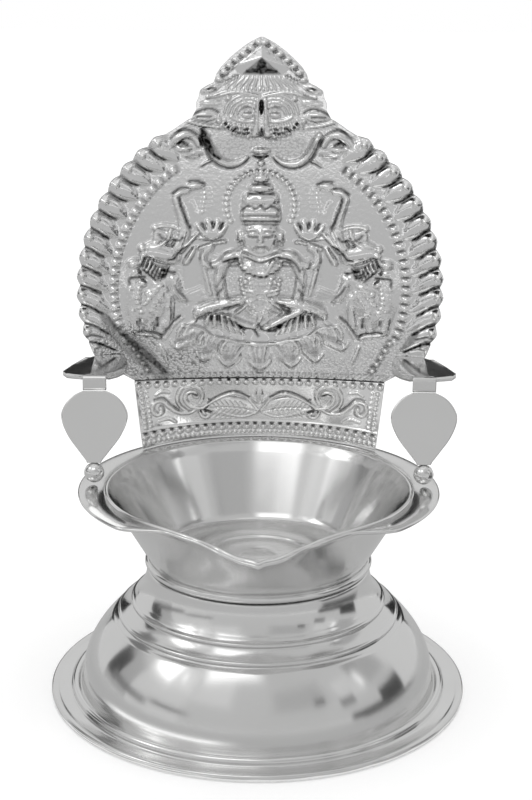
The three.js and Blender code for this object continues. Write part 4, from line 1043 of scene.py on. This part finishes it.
def embossed_sheet(name, node, outline, y_at, low, high, pattern_foot, thickness, grid, draw, painted_brightness=0.0):
    """A sheet whose front carries the embossing and whose back follows it, softened.
    The embossing is drawn in pattern millimetres, and low and high are the sheet's real heights. Grid is its
    rows and columns of points, and painted_brightness, 0 to 1, is painted highlight laid on the flat ground."""
    rows, columns = grid
    shares = np.linspace(-1, 1, columns)
    pattern_heights = np.linspace(pattern_foot, pattern_foot + (high - low) / PATTERN_SCALE, rows)
    pattern_x = outline(pattern_heights)[:, None] * shares[None, :]
    relief = Relief(pattern_x, np.repeat(pattern_heights[:, None], columns, axis=1))
    draw(relief)
    x = pattern_x * PATTERN_SCALE
    z = np.repeat(np.linspace(low, high, rows)[:, None], columns, axis=1)
    raised = blurred(relief.height, 1)
    soft = blurred(raised, BACK_PASSES)
    fall = np.gradient(raised, axis=0) / (high - low) * rows
    # Darker in the hollows round the raised forms.
    recess = np.clip((blurred(raised, HOLLOW_PASSES) - raised - HOLLOW_FROM) * 2.0, 0, 0.55)
    # Painted shade on the undersides of the raised forms, which face down.
    under_edges = np.clip(fall - 1.2, 0, 2) * 0.25
    # The drawn lines add their painted shade and tarnishing.
    recess = np.clip(np.maximum(recess + under_edges, blurred(relief.shade_and_tarnish, 1)), 0, 1)
    # Painted highlight on the crowns of the raised work, and over the whole ground by painted_brightness.
    crown = np.clip((raised - blurred(raised, CROWN_PASSES) - CROWN_FROM) * 3.0 + painted_brightness, 0, 1)
    edge = smooth_step(0, 0.012, 1 - np.abs(shares))[None, :]
    front_y = y_at(x, z) - thickness / 2 - np.maximum(raised, -DEEPEST) * (0.25 + 0.75 * edge)
    back_columns = np.unique(np.concatenate([np.arange(0, columns, BACK_STEP), [columns - 1]]))
    back_y = (y_at(x, z) + thickness / 2 - BACK_SHARE * soft * edge)[:, back_columns]
    back_x, back_z = x[:, back_columns], z[:, back_columns]
    points = np.concatenate([np.stack([x, front_y, z], -1).reshape(-1, 3),
                             np.stack([back_x, back_y, back_z], -1).reshape(-1, 3)])
    width, first_back = len(back_columns), rows * columns
    faces = []
    for i in range(rows - 1):
        for j in range(columns - 1):
            a = i * columns + j
            faces.append((a, a + 1, a + columns + 1, a + columns))
        for j in range(width - 1):
            a = first_back + i * width + j
            faces.append((a, a + width, a + width + 1, a + 1))
        a, b = i * columns, first_back + i * width
        faces.append((a, a + columns, b + width, b))
        a, b = i * columns + columns - 1, first_back + i * width + width - 1
        faces.append((a, b, b + width, a + columns))
    faces.append(tuple([first_back + j for j in range(width)] + [j for j in range(columns - 1, -1, -1)]))
    top, top_back = (rows - 1) * columns, first_back + (rows - 1) * width
    faces.append(tuple([top + j for j in range(columns)] + [top_back + j for j in range(width - 1, -1, -1)]))
    piece = new_piece(name, points, faces, STAMPED, "stamped_silver", node)
    for label, field in (("recess", recess), ("crown", crown), ("rough", relief.rough)):
        mask = piece.data.attributes.new(label, "FLOAT", "POINT")
        values = np.concatenate([field.ravel(), np.zeros(rows * width)])
        mask.data.foreach_set("value", values.astype(np.float32))
    return piece


PLATE_GRID = (306, 250)


def draw_plate(relief):
    for motif in (elephant, goddess, lap, lotus_seat, border, crest, guardian, swags, ground):
        motif(relief)


embossed_sheet("plate_embossed", "back_plate", plate_half_width, lambda x, z: plate_y(x), PLATE_FOOT_Z,
               PLATE_TIP_Z, PATTERN_FOOT, PLATE_THICKNESS, PLATE_GRID, draw_plate)


# Base panel

def panel_half_width(z):
    top = PANEL_PATTERN_FOOT + (PANEL_TOP_Z - PANEL_FOOT_Z) / PATTERN_SCALE
    half_widths = [PANEL_FOOT_HALF_WIDTH / PATTERN_SCALE, PANEL_TOP_HALF_WIDTH / PATTERN_SCALE]
    return np.interp(z, [PANEL_PATTERN_FOOT, top], half_widths)


def panel_y(x, z):
    rise = (z - PANEL_FOOT_Z) / (PANEL_TOP_Z - PANEL_FOOT_Z)
    return mix(np.sqrt(PANEL_FOOT_RADIUS ** 2 - x ** 2), plate_y(x), rise)


def draw_panel(relief):
    relief.beads([[24.3, 51.3], [12, 51.35], [0.9, 51.4]], 1.8, 0.6, 0.9, darkening=0.9)
    relief.beads([[22.9, 41.5], [12, 41.5], [0.88, 41.5]], 1.76, 0.62, 0.95, darkening=0.9)
    relief.beads([[23, 40.3], [12, 40.25], [0.3, 40.2]], 0.95, 0.34, 0.45)
    relief.strand([[-23.6, 42.5], [0, 42.55], [23.6, 42.5]], 0.18, 0.3, twin=False)
    relief.beads([[22.8, 43.2], [23.3, 47], [23.8, 50]], 1.0, 0.42, 0.6)
    relief.beads([[21.9, 43.2], [22.3, 47], [22.8, 50]], 1.0, 0.28, 0.35)
    # Two veined leaves and a bud between them
    relief.leaf([0.9, 45], [11.2, 45.9], 2.35, 0.95, veins=7, bend=0.5)
    relief.strand([[0.3, 45], [2.6, 48], [5.2, 48.9], [8.4, 47.9], [11.6, 46]], [0.22, 0.32, 0.28], 0.95)
    relief.groove([[2, 48], [4, 49.1], [6, 49.3], [8.6, 48.3], [10.6, 47]], [0.1, 0.2, 0.2, 0.1], 0.1,
                  darkening=0.8)
    relief.strand([[0.7, 44.5], [3.4, 43.7], [6.4, 44.3], [9.2, 45.4], [11.2, 45.9]], [0.22, 0.28, 0.22], 0.8)
    relief.leaf([0, 46.8], [0, 50], 0.75, 0.8, twin=False)
    relief.leaf([-0.2, 46.6], [-1.9, 48.8], 0.4, 0.6)
    # Scrolling stems
    relief.strand([[11.4, 45.8], [13.8, 46.4], [15.1, 48], [14.7, 49.3], [13.4, 49.5], [12.9, 48.6]],
                  [0.35, 0.45, 0.4, 0.6], [0.8, 1.0, 0.9, 1.1])
    relief.groove([[14.4, 49], [13.5, 49.2], [12.7, 48.8]], 0.24, 0.3, darkening=0.9)
    relief.strand([[12.2, 47], [11.6, 48.4], [12.1, 50], [13.9, 50.9], [15.9, 50.2], [16.7, 48.4],
                   [16.2, 46.8], [14.6, 45.3]], [0.3, 0.5, 0.4, 0.3], 0.7)
    relief.strand([[12.4, 46], [14.4, 45.1], [16.6, 45.5], [18.4, 46.9], [19.7, 48], [21.2, 47.8],
                   [21.6, 46.4], [20.7, 45.4], [19.7, 45.8], [19.9, 46.7]], [0.32, 0.42, 0.38, 0.45],
                  [0.9, 1.0, 0.9, 1.0])
    relief.groove([[16.4, 45.9], [18, 47.2], [19.5, 48.6], [21.3, 48.4]], 0.2, 0.1, darkening=0.7)
    relief.groove([[12.2, 45.4], [11.4, 45.5], [10.4, 46.4]], 0.2, 0.2, darkening=0.7)
    relief.strand([[12.3, 45.4], [11.8, 44.3], [10.9, 43.8], [10.1, 44.4], [10.8, 44.9]], [0.28, 0.36, 0.32],
                  0.8)
    relief.groove([[11.2, 45.1], [10.6, 45.3], [9.8, 44.9]], 0.2, 0.2, darkening=0.85)
    relief.strand([[18.3, 49.6], [19.8, 49.9], [21, 49.2]], [0.2, 0.35, 0.2], 0.35)
    relief.strand([[17, 43.4], [18.4, 44.3], [20.3, 44]], [0.2, 0.35, 0.2], 0.35)


PANEL_GRID = (88, 340)
# Painted light: the panel's ground is painted lighter than the plate's.
PANEL_PAINTED_BRIGHTNESS = 0.5
embossed_sheet("panel_embossed", "base_panel", panel_half_width, panel_y, PANEL_FOOT_Z, PANEL_TOP_Z,
               PANEL_PATTERN_FOOT, PANEL_THICKNESS, PANEL_GRID, draw_panel, PANEL_PAINTED_BRIGHTNESS)


# Side brackets

def ball_mesh(side):
    """A turned ball on the flange."""
    rings, around = 24, 48
    points = [(0, 0, -BALL_RADIUS)]
    for i in range(1, rings):
        polar_angle = math.pi * i / rings
        for j in range(around):
            turn = 2 * math.pi * j / around
            points.append((BALL_RADIUS * math.sin(polar_angle) * math.cos(turn),
                           BALL_RADIUS * math.sin(polar_angle) * math.sin(turn),
                           -BALL_RADIUS * math.cos(polar_angle)))
    points.append((0, 0, BALL_RADIUS))
    faces = [(0, 1 + (j + 1) % around, 1 + j) for j in range(around)]
    for i in range(rings - 2):
        for j in range(around):
            a, b = 1 + i * around + j, 1 + i * around + (j + 1) % around
            faces.append((a, b, b + around, a + around))
    last = len(points) - 1
    faces += [(last, last - around + j, last - around + (j + 1) % around) for j in range(around)]
    return [(side * BRACKET_X + x, BALL_Y + y, BALL_Z + z) for x, y, z in points], faces


def between(front, back):
    """Points and faces of a closed sheet between two equal grids of points."""
    rows, columns = front.shape[:2]
    points = np.concatenate([front.reshape(-1, 3), back.reshape(-1, 3)])
    other = rows * columns
    faces = []
    for i in range(rows - 1):
        for j in range(columns - 1):
            a = i * columns + j
            faces.append((a, a + 1, a + columns + 1, a + columns))
            faces.append((other + a, other + a + columns, other + a + columns + 1, other + a + 1))
        a, b = i * columns, i * columns + columns - 1
        faces.append((a, a + columns, other + a + columns, other + a))
        faces.append((b, other + b, other + b + columns, b + columns))
    for j in range(columns - 1):
        a, b = j, (rows - 1) * columns + j
        faces.append((a, other + a, other + a + 1, a + 1))
        faces.append((b, b + 1, other + b + 1, other + b))
    return points, faces


# Outline of the vase plate: share of the height and half width.
VASE_OUTLINE = [(0, VASE_FOOT_HALF_WIDTH), (0.04, 1.55), (0.08, 2.0), (0.2, 3.25), (0.29, 4.2), (0.38, 5.0),
                (0.5, 5.8), (0.6, 6.2), (0.66, 6.27), (0.72, 6.15), (0.8, 5.65), (0.87, 4.95), (0.91, 4.4),
                (0.95, 3.65), (0.975, 3.0), (1, VASE_NECK_HALF_WIDTH)]


def vase_mesh(side):
    """A flat plate cut to the outline of a full vase, with its edges rounded over."""
    path = curve(VASE_OUTLINE, 0.02)
    shares = np.linspace(0, 1, 80)
    half = np.interp(shares, path[:, 0], path[:, 1])
    across = np.sin(np.linspace(-math.pi / 2, math.pi / 2, 41))
    u = half[:, None] * across[None, :]
    # The foot reaches down into the solder on the ball.
    v = np.repeat(mix(-JOINT_GAP, VASE_HEIGHT, shares)[:, None], len(across), axis=1)
    from_edge = half[:, None] * (1 - np.abs(across))[None, :]
    round_over = np.sqrt(np.clip(1 - (1 - np.clip(from_edge / 0.35, 0, 1)) ** 2, 0, 1))
    depth = VASE_THICKNESS / 2 * (0.35 + 0.65 * round_over)
    grids = []
    for way in (-1, 1):
        y = BALL_Y + v * math.sin(VASE_LEAN) + way * depth * math.cos(VASE_LEAN)
        z = VASE_FOOT_Z + v * math.cos(VASE_LEAN) - way * depth * math.sin(VASE_LEAN)
        grids.append(np.stack([side * (BRACKET_X + u), y, z], -1))
    return between(*grids)


# Arm outline from the back plate forward: share of the way, how far its inner edge, its fold line and the tip
# of its wing lie from the ball's centre line, and how far the wing falls below the fold.
ARM_STATIONS = [(0, -3.9, 2.8, 3.7, 0.2), (0.24, -4.8, 2.75, 5.9, 0.8), (0.45, -5.3, 2.7, 7.1, 1.1),
                (0.67, -5.2, 2.6, 5.9, 0.9), (0.82, -4.1, 2.5, 4.2, 0.5), (0.92, -2.6, 2.3, 2.9, 0.2)]


def arm_mesh(side):
    """A strap from the back plate forward to the vase. A wing is folded down along its outer edge, and a tab
    is bent down at its front end over the vase's neck."""
    front_y = BALL_Y + VASE_HEIGHT * math.sin(VASE_LEAN)
    low_z = VASE_FOOT_Z + VASE_HEIGHT * math.cos(VASE_LEAN) + JOINT_GAP
    front_z = low_z + ARM_TAB_HEIGHT
    stations = np.array(ARM_STATIONS)
    rows = []
    for along in np.linspace(0, 0.92, 40):
        inner, fold, wing, drop = (np.interp(along, stations[:, 0], stations[:, k]) for k in (1, 2, 3, 4))
        z = mix(front_z - ARM_FALL, front_z, along)
        row = [(mix(inner, fold, s), z - 0.25 * (2 * s - 1) ** 4) for s in np.linspace(0, 1, 13)]
        row += [(mix(fold, wing, s), z - 0.25 - (drop - 0.25) * s) for s in np.linspace(0.1, 1, 9)]
        rows.append([(BRACKET_X + reach, mix(plate_y(BRACKET_X + reach) - PLATE_THICKNESS / 2 - JOINT_GAP,
                                             front_y, along), h) for reach, h in row])
    columns, strap = len(rows[0]), len(rows)
    bend = [[front_y + 0.75, front_z], [front_y + 0.3, front_z]]
    bend += arc(front_y - 0.1, front_z - 0.5, 0.5, 90, 180, 8)
    bend += [[front_y - 0.6, mix(front_z - 0.6, low_z, t)] for t in (0.3, 0.65, 1)]
    for y, z in bend:
        rows.append([(BRACKET_X + mix(-VASE_NECK_HALF_WIDTH, VASE_NECK_HALF_WIDTH, k / (columns - 1)), y, z)
                     for k in range(columns)])
    top = np.array(rows)
    under = top.copy()
    under[:strap, :, 2] -= ARM_THICKNESS
    slide = np.linspace(0, 1, len(bend))[:, None] ** 0.7 * ARM_THICKNESS
    under[strap:, :, 1] += slide
    under[strap:, :, 2] -= np.linspace(1, 0, len(bend))[:, None] * ARM_THICKNESS
    for grid in (top, under):
        grid[:, :, 0] *= side
    return between(top, under)


BALL_Z = FLANGE_TOP_Z + JOINT_GAP + BALL_RADIUS
VASE_FOOT_Z = BALL_Z + BALL_RADIUS + JOINT_GAP
for label, side in (("left", -1), ("right", 1)):
    for kind, mesh_of in (("ball", ball_mesh), ("vase_plate", vase_mesh), ("arm", arm_mesh)):
        new_piece(f"{kind}_{label}_polished", *mesh_of(side), CUT, "polished_silver", f"{kind}_{label}")


# Stage

def emitting(name, strength):
    """A plain glowing surface: lit cloth or card round the lamp, seen only in its mirror surfaces. It thins
    out towards its edges by the attribute "fade"."""
    material, tree = new_material(name)
    fade = add_node(tree, "ShaderNodeAttribute", {"attribute_name": "fade"}).outputs["Fac"]
    glow = add_node(tree, "ShaderNodeEmission", {}, {"Color": linear("#ffffff"), "Strength": strength})
    clear = add_node(tree, "ShaderNodeBsdfTransparent")
    blend = add_node(tree, "ShaderNodeMixShader", {}, {
        0: fade, 1: clear.outputs["BSDF"], 2: glow.outputs["Emission"]})
    add_node(tree, "ShaderNodeOutputMaterial", {}, {"Surface": blend.outputs["Shader"]})
    return material


def stage_sheet(name, points, faces, material):
    mesh = bpy.data.meshes.new(name)
    mesh.from_pydata(points, [], faces)
    mesh.materials.append(material)
    sheet = bpy.data.objects.new(name, mesh)
    bpy.context.scene.collection.objects.link(sheet)
    return sheet


CARD_CENTRE = (0, 0, 0.06)
CARD_STEPS = 24


def glowing_sheet(name, point_at, strength, soft):
    """A glowing sheet from point_at(s, t) over 0 to 1 each way. Soft is the share of it that fades out."""
    points, faces, fade = [], [], []
    for i in range(CARD_STEPS + 1):
        for j in range(CARD_STEPS + 1):
            s, t = i / CARD_STEPS, j / CARD_STEPS
            points.append(point_at(s, t))
            inset = min(s, 1 - s, t, 1 - t) * 2
            fade.append(float(smooth_step(0, soft, inset)) if soft else 1.0)
            if i < CARD_STEPS and j < CARD_STEPS:
                a = i * (CARD_STEPS + 1) + j
                faces.append((a, a + 1, a + CARD_STEPS + 2, a + CARD_STEPS + 1))
    sheet = stage_sheet(name, points, faces, emitting(name + "_cloth", strength))
    sheet.data.attributes.new("fade", "FLOAT", "POINT").data.foreach_set("value", np.array(fade, np.float32))
    sheet.visible_camera = False
    sheet.visible_diffuse = False
    sheet.visible_shadow = False


def card(name, azimuths, elevations, strength, distance, soft):
    """A card that fills a range of directions seen from the lamp, in degrees.
    Azimuth 0 is towards the camera's side and 90 to the right."""
    def point_at(s, t):
        azimuth, elevation = math.radians(mix(*azimuths, s)), math.radians(mix(*elevations, t))
        return (CARD_CENTRE[0] + distance * math.sin(azimuth) * math.cos(elevation),
                CARD_CENTRE[1] - distance * math.cos(azimuth) * math.cos(elevation),
                CARD_CENTRE[2] + distance * math.sin(elevation))
    glowing_sheet(name, point_at, strength, soft)


def table_card(name, azimuths, reaches, strength, soft):
    """Part of a ring that lies on the table round the foot, between two reaches in metres."""
    def point_at(s, t):
        azimuth, reach = math.radians(mix(*azimuths, s)), mix(*reaches, t)
        return reach * math.sin(azimuth), -reach * math.cos(azimuth), 0.0003 + 0.0001 * (soft > 0)
    glowing_sheet(name, point_at, strength, soft)


ALL_ROUND = (-180, 180)
# The room that the polished metal mirrors: azimuths, elevations, strength, distance in metres and softness.
CARDS = {
    "room_wall": (ALL_ROUND, (-3, 64), 0.67, 2.0, 0),
    "ceiling": (ALL_ROUND, (62, 90), 0.8, 2.1, 0),
    "back_wall": ((145, 215), (12, 40), 0.7, 1.6, 0.3),
    "grey_room": ((-52, 108), (-2, 78), 0.57, 1.3, 0.1),
    "room_mid": ((6, 56), (22, 50), 0.45, 1.2, 0.5),
    "room_left": ((-54, -14), (24, 62), 0.7, 1.25, 0.5),
    "room_right": ((57, 82), (20, 42), 0.67, 1.1, 0.2),
    "patch_right": ((84, 106), (22, 48), 0.43, 1.1, 0.3),
    "left_grey": ((-118, -90), (-4, 34), 0.44, 1.1, 0.2),
    "window_halo": ((-76, -46), (28, 60), 0.85, 1.0, 0.8),
    "window": ((-96, -68), (33, 54), 2.4, 0.9, 0.6),
    "window_small": ((-66, -60), (40, 47), 1.4, 0.9, 0.5),
    "light_streak": ((77, 83), (24, 40), 1.1, 0.9, 0.5),
    "dark_left": ((-118, -104), (2, 26), 0.08, 0.9, 0.15),
    "dark_left_low": ((-112, -72), (3, 11), 0.2, 0.88, 0.3),
    "dark_streak": ((-78, -40), (8, 14), 0.12, 0.86, 0.6),
    "dark_right": ((84, 106), (-6, 14), 0.06, 0.9, 0.15),
    "dark_right_low": ((58, 90), (-9, 1), 0.08, 0.55, 0.15),
    "dark_spot_front": ((39, 48), (24, 31), 0.08, 0.8, 0.3),
    "dark_spot_side": ((55, 68), (13, 24), 0.24, 0.8, 0.3),
    "dark_spot_high": ((76, 92), (36, 46), 0.28, 0.85, 0.5),
    "dark_high_left": ((-158, -112), (30, 44), 0.2, 0.85, 0.3),
    "dark_behind_left": ((-182, -146), (-3, 12.5), 0.02, 1.2, 0.05),
    "dark_behind_right": ((146, 182), (-3, 12.5), 0.02, 1.2, 0.05),
}
# The same on the table: azimuths, reaches in metres, strength and softness.
TABLE_CARDS = {
    "table_near": (ALL_ROUND, (0.0405, 0.08), 0.5, 0),
    "table_far": (ALL_ROUND, (0.08, 0.9), 0.53, 0),
    "table_glow_left": ((-75, -4), (0.0405, 0.047), 1.4, 0.5),
    "table_dark_right": ((58, 110), (0.085, 0.4), 0.1, 0.3),
}
FLOOR_HALF = 3.0
FLOOR_Z = -0.0002
FLOOR_LIFT = 0.2


def overhead(s, t):
    """A point of the white card close above, to the left, which lights the upper edges of the embossing."""
    return mix(-0.12, 0.02, s), mix(-0.06, -0.125, t), mix(0.265, 0.165, t)


def white_floor():
    """Pale paper under the lamp. It glows a little to the camera and in mirrors, so that it turns white."""
    material, tree = new_material("white_floor")
    sides = add_node(tree, "ShaderNodeLightPath")
    direct = add_node(tree, "ShaderNodeMath", {"operation": "MAXIMUM"}, {
        0: sides.outputs["Is Camera Ray"], 1: sides.outputs["Is Glossy Ray"]})
    lift = add_node(tree, "ShaderNodeMath", {"operation": "MULTIPLY"}, {
        0: direct.outputs["Value"], 1: FLOOR_LIFT})
    shader = add_node(tree, "ShaderNodeBsdfPrincipled", {}, {
        "Base Color": linear("#f4f4f4"), "Roughness": 0.9, "Emission Color": linear("#ffffff"),
        "Emission Strength": lift.outputs["Value"]})
    add_node(tree, "ShaderNodeOutputMaterial", {}, {"Surface": shader.outputs["BSDF"]})
    corners = [(x * FLOOR_HALF, y * FLOOR_HALF, 0) for x, y in ((-1, -1), (1, -1), (1, 1), (-1, 1))]
    floor = stage_sheet("floor_sheet", corners, [(0, 1, 2, 3)], material)
    floor.location.z = FLOOR_Z


def white_world():
    world = bpy.data.worlds.new("studio")
    bpy.context.scene.world = world
    world.use_nodes = True
    tree = world.node_tree
    tree.nodes.clear()
    glow = add_node(tree, "ShaderNodeBackground", {}, {"Color": linear("#ffffff"), "Strength": 1.0})
    add_node(tree, "ShaderNodeOutputWorld", {}, {"Surface": glow.outputs["Background"]})


white_floor()
white_world()
for label, values in CARDS.items():
    card(label, *values)
for label, values in TABLE_CARDS.items():
    table_card(label, *values)
glowing_sheet("overhead_card", overhead, 1.6, 0.5)


# Camera

CAMERA_PLACE = Vector((0, -0.2801, 0.1355))
CAMERA_HEADING = math.radians(0.25)
CAMERA_PITCH = math.radians(15.65)
CAMERA_ROLL = math.radians(0.46)
CAMERA_LENS = 70.2


def photographer():
    forward = Vector((math.sin(CAMERA_HEADING) * math.cos(CAMERA_PITCH),
                      math.cos(CAMERA_HEADING) * math.cos(CAMERA_PITCH), -math.sin(CAMERA_PITCH)))
    level = Vector((math.cos(CAMERA_HEADING), -math.sin(CAMERA_HEADING), 0))
    upright = level.cross(forward)
    right = level * math.cos(CAMERA_ROLL) + upright * math.sin(CAMERA_ROLL)
    up = upright * math.cos(CAMERA_ROLL) - level * math.sin(CAMERA_ROLL)
    camera = bpy.data.objects.new("camera", bpy.data.cameras.new("camera"))
    camera.data.sensor_width = 36
    camera.data.lens = CAMERA_LENS
    camera.data.clip_start = 0.01
    turn = Matrix((right, up, -forward)).transposed().to_4x4()
    camera.matrix_world = Matrix.Translation(CAMERA_PLACE) @ turn
    bpy.context.scene.collection.objects.link(camera)
    bpy.context.scene.camera = camera


photographer()
bpy.context.scene.view_settings.view_transform = "Standard"
